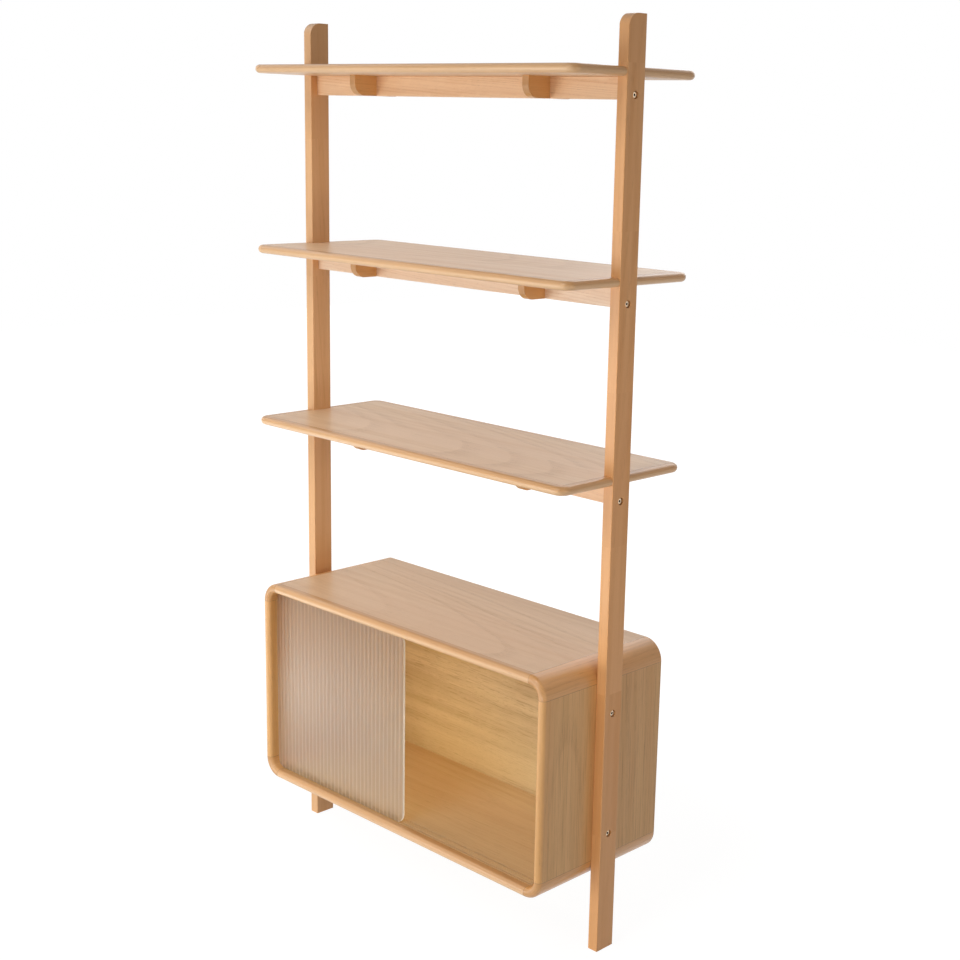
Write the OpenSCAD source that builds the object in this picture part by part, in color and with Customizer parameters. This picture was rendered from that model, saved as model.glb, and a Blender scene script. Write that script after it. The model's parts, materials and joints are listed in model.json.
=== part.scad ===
// Shelving unit: two slim posts carry three bullnosed shelves and a
// low cabinet with rounded corners and a fluted sliding door.
// Millimetres. X is the width, -Y the front, Z up from the floor.
// The origin is on the floor, midway between the two posts.

/* [Posts] */
// Height of a post from the floor
post_h = 1900; // [1750:1:2200]
// Thickness of a post, across the width of the unit
post_t = 25; // [22:0.5:34]
// Depth of a post, front to back
post_d = 50; // [40:1:70]
// Radius of the rounded front corner at the top of a post
post_nose_r = 26; // [10:1:36]
// Easing of the long edges of a post
post_edge_r = 1.5; // [0.5:0.25:3]
// Clear width between the two posts
clear_w = 915; // [860:1:1100]

/* [Shelves] */
// Thickness of a shelf
shelf_t = 18; // [16:0.5:23]
// Depth of a shelf, front to back
shelf_d = 362; // [300:1:420]
// How far the middle of a shelf lies behind the middle of the posts
shelf_back = 10; // [0:1:20]
// Distance from the tops of the posts down to the top face of the top shelf
shelf_drop = 96; // [40:1:120]
// Height from the top of one shelf to the top of the next
shelf_pitch = 390; // [300:1:410]
// How far a shelf stops short of the outer face of a post
shelf_shy = 1; // [0.5:0.25:4]
// Radius of the corners of a shelf, seen from above
shelf_corner_r = 25; // [22:1:60]
// Width of the solid lipping round the veneered panel of a shelf
shelf_lip_w = 20; // [14:0.5:23]

/* [Rails and bearers] */
// Height of a rail and of the bearers that cross it
rail_h = 42; // [38:1:56]
// Thickness of a rail
rail_t = 16; // [14:0.5:24]
// Easing of the long edges of a rail
rail_edge_r = 1.5; // [0.5:0.25:3]
// Distance between the middles of the two bearers of a shelf
bearer_gap = 520; // [300:1:700]
// Thickness of a bearer
bearer_t = 17; // [14:0.5:24]
// Length of a bearer, front to back
bearer_l = 136; // [120:1:200]
// Radius of the two lower corners of a bearer
bearer_r = 25; // [8:1:28]

/* [Cabinet] */
// Height of the underside of the cabinet above the floor
case_z = 155; // [100:1:220]
// Height of the cabinet
case_h = 480; // [420:1:560]
// Depth of the cabinet, front to back
case_d = 360; // [320:1:420]
// Thickness of the cabinet walls
case_t = 21; // [18:0.5:24]
// Outer radius of the corners of the cabinet
case_r = 45; // [36:1:70]
// Depth of the solid lipping on the front edges of the cabinet
case_lip_d = 20; // [14:0.5:30]
// Thickness of the back panel
back_t = 8; // [5:0.5:12]
// Width of the ledge that the back panel lies on
back_ledge = 10; // [8:0.5:12]
// How far the back panel lies in from the rear edges of the cabinet
back_inset = 8; // [2:0.5:14]

/* [Sliding door] */
// Thickness of the door over its flutes
door_t = 6; // [5:0.25:7]
// Number of flutes across the door
flute_count = 34; // [24:1:36]
// Width of a flute
flute_pitch = 13.25; // [10:0.25:14]
// Height of a flute above the valleys beside it
flute_rise = 1; // [0.5:0.1:1.5]
// Width of the flat at the bottom of a valley
valley_w = 0.5; // [0.2:0.1:1.5]
// Distance from the front of the cabinet to the middle of the front groove
groove_in = 25; // [18:0.5:40]
// Distance between the middles of the two grooves
groove_pitch = 17; // [12:0.5:24]
// Depth of the grooves in the floor of the cabinet
groove_low = 4; // [3:0.25:6]
// Depth of the grooves in the top of the cabinet, which lets the door lift out
groove_high = 9; // [8:0.25:12]
// Gap between the door and each wall of its groove
door_side_gap = 0.5; // [0.3:0.05:1]
// Gap under the door in its groove
door_foot_gap = 0.3; // [0.2:0.05:0.6]
// Gap left at each end of the travel of the door
door_end_gap = 1.5; // [0.5:0.25:4]

/* [Bolts] */
// Diameter of a bolt
bolt_d = 6; // [5:0.25:8]
// Diameter of the head of a bolt
bolt_head_d = 12; // [10:0.25:13.5]
// Height of the head of a bolt
bolt_head_h = 6; // [4:0.25:7]
// Width across the flats of the socket in a bolt head
bolt_key = 5; // [3:0.25:6]
// Diameter of the recess round a bolt head
bolt_recess_d = 15; // [14:0.25:16]
// How far a bolt head lies below the face of the post
bolt_sink = 3; // [0.5:0.25:4]
// Distance from the top of a shelf down to its bolts
bolt_drop = 51; // [46:0.5:51]
// How far a rail bolt reaches past the inner face of the post
rail_bolt_reach = 42; // [38:1:60]
// How far a cabinet bolt reaches past the inner face of the post
case_bolt_reach = 13; // [8:0.5:14]
// Distance from the top or the underside of the cabinet to its nearer bolts
case_bolt_in = 107.5; // [70:0.5:160]

/* [Nuts, inserts, dowels and tongues] */
// Diameter of a barrel nut
nut_d = 10; // [9:0.25:11]
// Distance from the end of a rail to the middle of its barrel nut
nut_set = 30; // [24:0.5:32]
// Wood left in front of a barrel nut
nut_skin = 3; // [2:0.25:5]
// Outer diameter of a threaded insert
insert_d = 10; // [9:0.25:12]
// Length of a threaded insert
insert_l = 14; // [10:0.5:15]
// Diameter of a rail dowel
dowel_d = 8; // [6:0.25:10]
// Length of a rail dowel
dowel_l = 30; // [20:1:36]
// Depth of a rail dowel in the post
dowel_in_post = 12; // [8:0.5:16]
// Distance from the top of a shelf down to its rail dowels
dowel_drop = 30; // [27:0.5:34]
// Thickness of a corner tongue
tongue_t = 5; // [3:0.25:7]
// Width of a corner tongue across its seam
tongue_w = 16; // [10:0.5:20]
// Distance from the rear groove, and from the back panel, to the corner tongues
tongue_in = 6; // [2:0.5:20]

/* [Screws] */
// Diameter of a shelf screw
shelf_screw_d = 4.5; // [3.5:0.25:5]
// Diameter of the head of a shelf screw
shelf_screw_head_d = 8; // [7:0.25:9]
// Height of the head of a shelf screw
shelf_screw_head_h = 3; // [2:0.25:4]
// Diameter of the recess under a bearer for a shelf screw
shelf_screw_recess_d = 10; // [9:0.25:12]
// Depth of a shelf screw in the shelf
shelf_screw_bite = 13; // [8:0.5:14]
// Wood between the head of a shelf screw and the shelf
shelf_screw_grip = 22; // [16:0.5:30]
// Distance from the middle of a bearer to each of its two screws
shelf_screw_y = 34; // [24:0.5:36]
// Diameter of a back panel screw
back_screw_d = 3.5; // [3:0.25:4]
// Diameter of the countersunk head of a back panel screw
back_screw_head_d = 7; // [5.5:0.25:8]
// Length of a back panel screw
back_screw_l = 28; // [20:0.5:40]
// Number of back panel screws along the top, and along the floor
back_screws_wide = 4; // [2:1:6]
// Number of back panel screws down each side
back_screws_tall = 2; // [1:1:4]

/* [Fits] */
// Gap between a shelf and the post that it is notched round
notch_gap = 0.3; // [0.1:0.05:1]
// Gap on each side of a halved joint between a rail and a bearer
lap_gap = 0.1; // [0.05:0.05:0.3]
// Gap round a bolt, dowel, nut or insert in its hole
hole_gap = 0.1; // [0.05:0.05:0.2]
// Gap at the end of a blind hole
depth_gap = 1; // [0.25:0.25:2]
// Gap round the edge of the back panel
back_gap = 0.4; // [0.1:0.05:1]

/* [Hidden] */
$fn = 64;
// Overshoot of a cut past the face that it opens
over = 1;
unit_w = clear_w + 2 * post_t;
post_in_x = clear_w / 2;
post_out_x = unit_w / 2;

shelf_w = unit_w - 2 * shelf_shy;
shelf_tops = [for (i = [0 : 2]) post_h - shelf_drop - i * shelf_pitch];
shelf_top = shelf_tops[0];
shelf_middle = shelf_tops[1];
shelf_low = shelf_tops[2];

inner_w = clear_w - 2 * case_t;
inner_h = case_h - 2 * case_t;
inner_r = case_r - case_t;
case_mid_z = case_z + case_h / 2;
case_run_x = clear_w - 2 * case_r;
case_run_z = case_h - 2 * case_r;
case_front_y = -case_d / 2;
case_back_y = case_d / 2;

back_y = case_back_y - back_inset - back_t;
groove_w = door_t + 2 * door_side_gap;
groove_front_y = case_front_y + groove_in;
groove_rear_y = groove_front_y + groove_pitch;
groove_r = inner_r + groove_low;
groove_h = inner_h + groove_low + groove_high;
groove_mid_z = case_mid_z + (groove_high - groove_low) / 2;

door_w = flute_count * flute_pitch;
door_x = -inner_w / 2 + door_end_gap;
door_z = case_mid_z - inner_h / 2 - groove_low + door_foot_gap;
// Lifted until it meets the upper groove, the door just clears the lower one
door_h = inner_h + groove_high - door_foot_gap - door_foot_gap;
door_r = groove_r - door_end_gap;
flute_r = (pow((flute_pitch - valley_w) / 2, 2) + pow(flute_rise, 2)) / (2 * flute_rise);

bolt_seat_x = post_out_x - bolt_sink - bolt_head_h;
case_bolt_zs = [case_z + case_bolt_in, case_z + case_h - case_bolt_in];
nut_l = rail_t - nut_skin - hole_gap;
tongue_y0 = groove_rear_y + groove_w / 2 + tongue_in;
tongue_y1 = back_y - tongue_in;
back_screw_head_h = (back_screw_head_d - back_screw_d) / 2;

oak = [0.85, 0.66, 0.46];
oak_veneer = [0.80, 0.66, 0.50];
oak_back = [0.74, 0.58, 0.34];
oak_dark = [0.69, 0.47, 0.25];
beech = [0.87, 0.72, 0.54];
reeded_glass = [0.80, 0.84, 0.82, 0.45];
steel = [0.55, 0.55, 0.56];
zinc = [0.72, 0.72, 0.70];

// Rectangle with four rounded corners, about its middle
module rounded_rect(w, h, r) {
    square([w - 2 * r, h], center = true);
    square([w, h - 2 * r], center = true);
    for (x = [-1, 1], y = [-1, 1])
        translate([x * (w / 2 - r), y * (h / 2 - r)]) circle(r = r);
}

// Section of a bullnosed bar: round nose at x = 0, flat end at x = w
module nosed_section(t, w) {
    intersection() {
        translate([t / 2, 0]) circle(d = t);
        translate([-over, -t]) square([t / 2 + over, 2 * t]);
    }
    translate([t / 2, -t / 2]) square([w - t / 2, t]);
}

// Section drawn in Y and Z, run along X about the middle
module along_x(l) {
    translate([-l / 2, 0, 0]) rotate([90, 0, 90]) linear_extrude(l) children();
}

// Section drawn in X and Z, run along Y from y0 to y1
module along_y(y0, y1) {
    translate([0, y1, 0]) rotate([90, 0, 0]) linear_extrude(y1 - y0) children();
}

// Rod along X from x0 to x1
module rod_x(d, x0, x1) {
    translate([x0, 0, 0]) rotate([0, 90, 0]) cylinder(d = d, h = x1 - x0);
}

// Left and right copies of what is drawn for the right side
module both_sides() {
    children();
    mirror([1, 0, 0]) children();
}

// Posts

module post_outline() {
    r = post_nose_r;
    translate([-post_d / 2, 0]) square([post_d, post_h - r]);
    translate([r - post_d / 2, 0]) square([post_d - r, post_h]);
    translate([r - post_d / 2, post_h - r]) circle(r = r);
}

module post_bolt_hole() {
    rod_x(bolt_d + 2 * hole_gap, post_in_x - over, post_out_x + over);
    rod_x(bolt_recess_d, bolt_seat_x, post_out_x + over);
}

module post() {
    color(oak) difference() {
        intersection() {
            translate([post_in_x + post_t / 2, 0, 0])
                linear_extrude(post_h) rounded_rect(post_t, post_d, post_edge_r);
            translate([post_in_x + post_t / 2, 0, 0])
                along_x(post_t) post_outline();
        }
        for (z = shelf_tops) {
            translate([0, 0, z - bolt_drop]) post_bolt_hole();
            translate([0, 0, z - dowel_drop])
                rod_x(dowel_d + 2 * hole_gap, post_in_x - over,
                      post_in_x + dowel_in_post + depth_gap);
        }
        for (z = case_bolt_zs) translate([0, 0, z]) post_bolt_hole();
    }
}

module post_right() post();
module post_left() mirror([1, 0, 0]) post();

// Shelves: every shelf part is drawn about the middle of the shelf

module shelf_notches() {
    both_sides()
        translate([post_in_x - notch_gap, -shelf_back - post_d / 2 - notch_gap, -shelf_t])
            cube([post_t + over, post_d + 2 * notch_gap, 2 * shelf_t]);
}

module shelf_screw_holes() {
    reach = shelf_screw_bite + depth_gap;
    for (x = [-1, 1], y = [-1, 1])
        translate([x * bearer_gap / 2, y * shelf_screw_y - shelf_back, -shelf_t / 2 - over])
            cylinder(d = shelf_screw_d + 2 * hole_gap, h = reach + over);
}

module shelf_panel() {
    color(oak_veneer) difference() {
        translate([0, 0, -shelf_t / 2]) linear_extrude(shelf_t)
            rounded_rect(shelf_w - 2 * shelf_lip_w, shelf_d - 2 * shelf_lip_w,
                         shelf_corner_r - shelf_lip_w);
        shelf_notches();
        shelf_screw_holes();
    }
}

// Half of a rounded corner, up to its mitre
module shelf_lip_bend() {
    rotate([0, 0, -90]) rotate_extrude(angle = 45)
        translate([shelf_corner_r, 0]) mirror([1, 0]) nosed_section(shelf_t, shelf_lip_w);
}

// Lipping of overall length l along X, with its nose at y = 0
module shelf_lip(l) {
    along_x(l - 2 * shelf_corner_r) nosed_section(shelf_t, shelf_lip_w);
    both_sides()
        translate([l / 2 - shelf_corner_r, shelf_corner_r, 0]) shelf_lip_bend();
}

module shelf_lip_front() {
    color(oak) translate([0, -shelf_d / 2, 0]) shelf_lip(shelf_w);
}

module shelf_lip_back() {
    color(oak) translate([0, shelf_d / 2, 0]) rotate([0, 0, 180]) shelf_lip(shelf_w);
}

module shelf_lip_right() {
    color(oak) difference() {
        translate([shelf_w / 2, 0, 0]) rotate([0, 0, 90]) shelf_lip(shelf_d);
        shelf_notches();
    }
}

module shelf_lip_left() mirror([1, 0, 0]) shelf_lip_right();

// Puts a shelf part in its place on the shelf whose top is at z
module at_shelf(z) {
    translate([0, shelf_back, z - shelf_t / 2]) children();
}

module shelf_top_panel() at_shelf(shelf_top) shelf_panel();
module shelf_top_lip_front() at_shelf(shelf_top) shelf_lip_front();
module shelf_top_lip_back() at_shelf(shelf_top) shelf_lip_back();
module shelf_top_lip_left() at_shelf(shelf_top) shelf_lip_left();
module shelf_top_lip_right() at_shelf(shelf_top) shelf_lip_right();

module shelf_middle_panel() at_shelf(shelf_middle) shelf_panel();
module shelf_middle_lip_front() at_shelf(shelf_middle) shelf_lip_front();
module shelf_middle_lip_back() at_shelf(shelf_middle) shelf_lip_back();
module shelf_middle_lip_left() at_shelf(shelf_middle) shelf_lip_left();
module shelf_middle_lip_right() at_shelf(shelf_middle) shelf_lip_right();

module shelf_low_panel() at_shelf(shelf_low) shelf_panel();
module shelf_low_lip_front() at_shelf(shelf_low) shelf_lip_front();
module shelf_low_lip_back() at_shelf(shelf_low) shelf_lip_back();
module shelf_low_lip_left() at_shelf(shelf_low) shelf_lip_left();
module shelf_low_lip_right() at_shelf(shelf_low) shelf_lip_right();

// Rails and bearers, for the shelf whose top is at z

// Recess for a barrel nut, open at the back of the rail
module nut_hole() {
    translate([post_in_x - nut_set, rail_t / 2 + over, 0]) rotate([90, 0, 0])
        cylinder(d = nut_d + 2 * hole_gap, h = rail_t - nut_skin + over);
}

module rail(z) {
    mid_z = z - shelf_t - rail_h / 2;
    color(oak) difference() {
        translate([0, 0, mid_z]) along_x(clear_w) rounded_rect(rail_t, rail_h, rail_edge_r);
        for (x = [-1, 1])
            translate([x * bearer_gap / 2 - bearer_t / 2 - lap_gap, -rail_t, mid_z])
                cube([bearer_t + 2 * lap_gap, 2 * rail_t, rail_h]);
        both_sides() translate([0, 0, z - bolt_drop]) {
            rod_x(bolt_d + 2 * hole_gap, post_in_x - rail_bolt_reach - depth_gap,
                  post_in_x + over);
            nut_hole();
        }
        both_sides() translate([0, 0, z - dowel_drop])
            rod_x(dowel_d + 2 * hole_gap,
                  post_in_x + dowel_in_post - dowel_l - depth_gap, post_in_x + over);
    }
}

module bearer_outline() {
    r = bearer_r;
    intersection() {
        square([bearer_l, rail_h], center = true);
        union() {
            translate([-bearer_l, r - rail_h / 2]) square([2 * bearer_l, rail_h]);
            translate([r - bearer_l / 2, -rail_h]) square([bearer_l - 2 * r, 2 * rail_h]);
            for (s = [-1, 1])
                translate([s * (bearer_l / 2 - r), r - rail_h / 2]) circle(r = r);
        }
    }
}

// side is -1 on the left and 1 on the right
module bearer(z, side) {
    screw_z = shelf_t + shelf_screw_grip;
    color(oak) translate([side * bearer_gap / 2, 0, z]) difference() {
        translate([0, 0, -shelf_t - rail_h / 2]) along_x(bearer_t) bearer_outline();
        translate([-bearer_t, -rail_t / 2 - lap_gap, -shelf_t - rail_h - over])
            cube([2 * bearer_t, rail_t + 2 * lap_gap, rail_h / 2 + over]);
        for (y = [-1, 1]) translate([0, y * shelf_screw_y, 0]) {
            translate([0, 0, -screw_z - over])
                cylinder(d = shelf_screw_d + 2 * hole_gap, h = screw_z);
            translate([0, 0, -shelf_t - rail_h - over])
                cylinder(d = shelf_screw_recess_d, h = rail_h - shelf_screw_grip + over);
        }
    }
}

module rail_top() rail(shelf_top);
module rail_middle() rail(shelf_middle);
module rail_low() rail(shelf_low);
module bearer_top_left() bearer(shelf_top, -1);
module bearer_top_right() bearer(shelf_top, 1);
module bearer_middle_left() bearer(shelf_middle, -1);
module bearer_middle_right() bearer(shelf_middle, 1);
module bearer_low_left() bearer(shelf_low, -1);
module bearer_low_right() bearer(shelf_low, 1);

// Cabinet: its parts are drawn about the middle of the case, at y = 0

// The two door grooves, which follow the round corners of the case
module door_grooves() {
    for (y = [groove_front_y, groove_rear_y])
        translate([0, 0, groove_mid_z - case_mid_z])
            along_y(y - groove_w / 2, y + groove_w / 2)
                rounded_rect(inner_w, groove_h, groove_r);
}

// The rebate that takes the back panel
module back_rebate() {
    along_y(back_y, case_back_y + over)
        rounded_rect(inner_w + 2 * back_ledge, inner_h + 2 * back_ledge, inner_r + back_ledge);
}

// Where the back panel screws stand, seen from behind
module at_back_screws() {
    screw_x = inner_w / 2 + back_ledge / 2;
    screw_z = inner_h / 2 + back_ledge / 2;
    step_x = case_run_x / back_screws_wide;
    step_z = case_run_z / back_screws_tall;
    for (i = [0 : back_screws_wide - 1], s = [-1, 1])
        translate([(i + 0.5) * step_x - case_run_x / 2, back_y + back_t, s * screw_z])
            children();
    for (i = [0 : back_screws_tall - 1], s = [-1, 1])
        translate([s * screw_x, back_y + back_t, (i + 0.5) * step_z - case_run_z / 2])
            children();
}

// Countersunk screw along -Y, with its head flush at y = 0
module back_screw(gap) {
    rotate([90, 0, 0]) {
        cylinder(d = back_screw_d + 2 * gap, h = back_screw_l + (gap > 0 ? depth_gap : 0));
        cylinder(d1 = back_screw_head_d + 2 * gap, d2 = back_screw_d + 2 * gap,
                 h = back_screw_head_h);
    }
}

// Places on the seams between the case walls and the corner mouldings
module at_seams() {
    for (x = [-1, 1], z = [-1, 1]) {
        translate([x * case_run_x / 2, 0, z * (case_h - case_t) / 2]) children();
        translate([x * (clear_w - case_t) / 2, 0, z * case_run_z / 2])
            rotate([0, 90, 0]) children();
    }
}

// Loose tongue across a seam, or its slot with a gap all round
module tongue(gap) {
    translate([-tongue_w / 2 - gap, tongue_y0 - gap, -tongue_t / 2 - gap])
        cube([tongue_w + 2 * gap, tongue_y1 - tongue_y0 + 2 * gap, tongue_t + 2 * gap]);
}

module insert_holes() {
    for (z = case_bolt_zs)
        both_sides() translate([0, 0, z - case_mid_z])
            rod_x(insert_d + 2 * hole_gap, post_in_x - insert_l - depth_gap,
                  post_in_x + over);
}

// Cuts shared by all the walls and mouldings of the case
module case_part() {
    translate([0, 0, case_mid_z]) difference() {
        children();
        door_grooves();
        back_rebate();
        at_seams() tongue(hole_gap);
        at_back_screws() back_screw(hole_gap);
        insert_holes();
    }
}

// A top or floor wall behind its lipping: side is 1 for the top and -1 for the floor
module level_wall(side) {
    color(oak_veneer) case_part()
        translate([-case_run_x / 2, case_front_y + case_lip_d, side * (case_h - case_t) / 2 - case_t / 2])
            cube([case_run_x, case_d - case_lip_d, case_t]);
}

// A side wall behind its lipping: side is 1 for the right and -1 for the left
module side_wall(side) {
    color(oak_veneer) case_part()
        translate([side * (clear_w - case_t) / 2 - case_t / 2, case_front_y + case_lip_d, -case_run_z / 2])
            cube([case_t, case_d - case_lip_d, case_run_z]);
}

module level_lip(side) {
    color(oak) case_part()
        translate([0, case_front_y, side * (case_h - case_t) / 2])
            along_x(case_run_x) nosed_section(case_t, case_lip_d);
}

module side_lip(side) {
    color(oak) case_part()
        translate([side * (clear_w - case_t) / 2, case_front_y, 0]) rotate([0, 90, 0])
            along_x(case_run_z) nosed_section(case_t, case_lip_d);
}

// Corner moulding: a quarter ring with a bullnosed front, in one piece
module corner_moulding(x, z) {
    turn = x > 0 ? (z > 0 ? 0 : 90) : (z > 0 ? 270 : 180);
    color(oak_dark) case_part()
        translate([x * case_run_x / 2, 0, z * case_run_z / 2]) rotate([0, turn, 0])
            rotate([90, 0, 0]) rotate_extrude(angle = 90)
                translate([case_r - case_t / 2, -case_front_y]) rotate([0, 0, -90])
                    nosed_section(case_t, case_d);
}

module cabinet_top() level_wall(1);
module cabinet_floor() level_wall(-1);
module cabinet_side_left() side_wall(-1);
module cabinet_side_right() side_wall(1);
module lip_cabinet_top() level_lip(1);
module lip_cabinet_floor() level_lip(-1);
module lip_cabinet_left() side_lip(-1);
module lip_cabinet_right() side_lip(1);
module corner_top_left() corner_moulding(-1, 1);
module corner_top_right() corner_moulding(1, 1);
module corner_floor_left() corner_moulding(-1, -1);
module corner_floor_right() corner_moulding(1, -1);

module cabinet_back() {
    grow = back_ledge - back_gap;
    color(oak_back) translate([0, 0, case_mid_z]) difference() {
        along_y(back_y, back_y + back_t)
            rounded_rect(inner_w + 2 * grow, inner_h + 2 * grow, inner_r + grow);
        at_back_screws() back_screw(hole_gap);
    }
}

// Sliding door

// Plan of one flute, a slice off a round that reaches back into the sheet
module flute_plan() {
    intersection() {
        translate([0, flute_r]) circle(r = flute_r, $fn = 256);
        translate([-flute_r, -over]) square([2 * flute_r, door_t / 2 + over]);
    }
}

// Plan of the door: a sheet with a flat back, and a row of flutes along its front
module door_plan() {
    translate([0, flute_rise]) square([door_w, door_t - flute_rise]);
    for (i = [0 : flute_count - 1])
        translate([(i + 0.5) * flute_pitch, 0]) flute_plan();
}

module sliding_door() {
    color(reeded_glass) intersection() {
        translate([door_x, groove_front_y - door_t / 2, door_z])
            linear_extrude(door_h) door_plan();
        translate([door_x + door_w / 2, 0, door_z + door_h / 2])
            along_y(groove_front_y - door_t, groove_front_y + door_t)
                rounded_rect(door_w, door_h, door_r);
    }
}

// Fastenings

// Socket head bolt from the right, with its tip at x = tip_x
module bolt(tip_x) {
    difference() {
        union() {
            rod_x(bolt_d, tip_x, bolt_seat_x + over);
            rod_x(bolt_head_d, bolt_seat_x, bolt_seat_x + bolt_head_h);
        }
        translate([bolt_seat_x + bolt_head_h / 3, 0, 0]) rotate([0, 90, 0])
            cylinder(d = bolt_key / cos(30), h = bolt_head_h, $fn = 6);
    }
}

module bolts_right() {
    color(steel) {
        for (z = shelf_tops)
            translate([0, 0, z - bolt_drop]) bolt(post_in_x - rail_bolt_reach);
        for (z = case_bolt_zs)
            translate([0, 0, z]) bolt(post_in_x - case_bolt_reach);
    }
}

module bolts_left() mirror([1, 0, 0]) bolts_right();

module barrel_nuts() {
    color(zinc) for (z = shelf_tops) both_sides()
        translate([0, 0, z - bolt_drop]) difference() {
            translate([post_in_x - nut_set, rail_t / 2, 0])
                rotate([90, 0, 0]) cylinder(d = nut_d, h = nut_l);
            rod_x(bolt_d + 2 * hole_gap, post_in_x - nut_set - nut_d, post_in_x);
        }
}

module threaded_inserts() {
    color(zinc) for (z = case_bolt_zs) both_sides()
        translate([0, 0, z]) difference() {
            rod_x(insert_d, post_in_x - insert_l, post_in_x);
            rod_x(bolt_d + 2 * hole_gap, post_in_x - insert_l - over, post_in_x + over);
        }
}

module rail_dowels() {
    color(beech) for (z = shelf_tops) both_sides()
        translate([0, 0, z - dowel_drop])
            rod_x(dowel_d, post_in_x + dowel_in_post - dowel_l, post_in_x + dowel_in_post);
}

module corner_tongues() {
    color(beech) translate([0, 0, case_mid_z]) at_seams() tongue(0);
}

module shelf_screws() {
    color(steel) for (z = shelf_tops, x = [-1, 1], y = [-1, 1])
        translate([x * bearer_gap / 2, y * shelf_screw_y, z - shelf_t - shelf_screw_grip]) {
            cylinder(d = shelf_screw_d, h = shelf_screw_grip + shelf_screw_bite);
            translate([0, 0, -shelf_screw_head_h])
                cylinder(d = shelf_screw_head_d, h = shelf_screw_head_h);
        }
}

module back_screws() {
    color(steel) translate([0, 0, case_mid_z]) at_back_screws() back_screw(0);
}

post_left();
post_right();
shelf_top_panel();
shelf_top_lip_front();
shelf_top_lip_back();
shelf_top_lip_left();
shelf_top_lip_right();
shelf_middle_panel();
shelf_middle_lip_front();
shelf_middle_lip_back();
shelf_middle_lip_left();
shelf_middle_lip_right();
shelf_low_panel();
shelf_low_lip_front();
shelf_low_lip_back();
shelf_low_lip_left();
shelf_low_lip_right();
rail_top();
rail_middle();
rail_low();
bearer_top_left();
bearer_top_right();
bearer_middle_left();
bearer_middle_right();
bearer_low_left();
bearer_low_right();
cabinet_top();
cabinet_floor();
cabinet_side_left();
cabinet_side_right();
cabinet_back();
corner_top_left();
corner_top_right();
corner_floor_left();
corner_floor_right();
lip_cabinet_top();
lip_cabinet_floor();
lip_cabinet_left();
lip_cabinet_right();
sliding_door();
bolts_left();
bolts_right();
barrel_nuts();
threaded_inserts();
rail_dowels();
corner_tongues();
shelf_screws();
back_screws();
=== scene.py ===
"""Looks of a shelving unit in lacquered oak with a sliding door of fluted glass.

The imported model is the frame. The posts, panels, rails and cabinet walls keep
their solids and get a procedural finish each. The bullnosed edges, the glass door
and the fastenings are made again here as finer surfaces in the same places.
Lengths are metres: X is the width, -Y the front and Z is up from the floor.
"""

import json
import logging
import math
from dataclasses import dataclass, replace
from enum import Enum
from typing import Iterable, Sequence

import bpy
import numpy as np
from mathutils import Matrix, Vector
from numpy.typing import NDArray

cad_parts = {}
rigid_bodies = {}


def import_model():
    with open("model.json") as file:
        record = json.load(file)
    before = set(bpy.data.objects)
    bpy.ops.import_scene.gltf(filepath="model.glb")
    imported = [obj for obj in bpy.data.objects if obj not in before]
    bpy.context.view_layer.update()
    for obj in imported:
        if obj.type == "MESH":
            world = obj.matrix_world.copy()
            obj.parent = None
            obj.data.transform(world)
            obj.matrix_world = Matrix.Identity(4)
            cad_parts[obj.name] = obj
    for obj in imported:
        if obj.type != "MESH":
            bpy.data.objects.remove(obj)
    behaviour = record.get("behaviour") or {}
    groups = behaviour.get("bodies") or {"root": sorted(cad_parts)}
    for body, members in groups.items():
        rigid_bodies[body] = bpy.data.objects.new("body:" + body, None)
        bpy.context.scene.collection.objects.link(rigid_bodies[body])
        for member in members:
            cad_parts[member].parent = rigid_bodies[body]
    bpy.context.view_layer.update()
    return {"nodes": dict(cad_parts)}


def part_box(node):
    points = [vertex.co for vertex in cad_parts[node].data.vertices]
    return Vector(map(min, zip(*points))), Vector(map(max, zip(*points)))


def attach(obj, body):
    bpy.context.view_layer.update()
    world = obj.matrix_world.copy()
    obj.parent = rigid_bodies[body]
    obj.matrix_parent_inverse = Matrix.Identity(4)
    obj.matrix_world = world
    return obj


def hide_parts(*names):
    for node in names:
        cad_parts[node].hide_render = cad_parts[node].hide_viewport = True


for leftover in list(bpy.data.objects):
    bpy.data.objects.remove(leftover)
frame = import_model()

LOG = logging.getLogger("shelving_unit")
UNIT, DOOR = "unit", "door"

Array = NDArray[np.float64]
Whole = NDArray[np.int64]
Rgb = tuple[float, float, float]
Point = tuple[float, float, float]
Socket = bpy.types.NodeSocket
Owner = bpy.types.Material | bpy.types.World


class Grain(Enum):
    """The direction of the grain, and then the two directions across it."""

    ALONG_X = (0, 1, 2)
    ALONG_Y = (1, 0, 2)
    ALONG_Z = (2, 1, 0)


class Recess(Enum):
    """What is sunk into the head of a fastening."""

    HEXAGON = "hexagon"
    CROSS = "cross"
    SLOT = "slot"


def srgb(red: int, green: int, blue: int) -> Rgb:
    """Turn a colour as it looks on a screen into the linear one that shaders use.

    Args:
        red: Red from 0 to 255.
        green: Green from 0 to 255.
        blue: Blue from 0 to 255.

    Returns:
        The three linear values from 0 to 1.
    """
    share = np.array([red, green, blue]) / 255
    linear = np.where(share <= 0.04045, share / 12.92, ((share + 0.055) / 1.055) ** 2.4)
    return tuple(float(value) for value in linear)


# Surfaces


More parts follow.
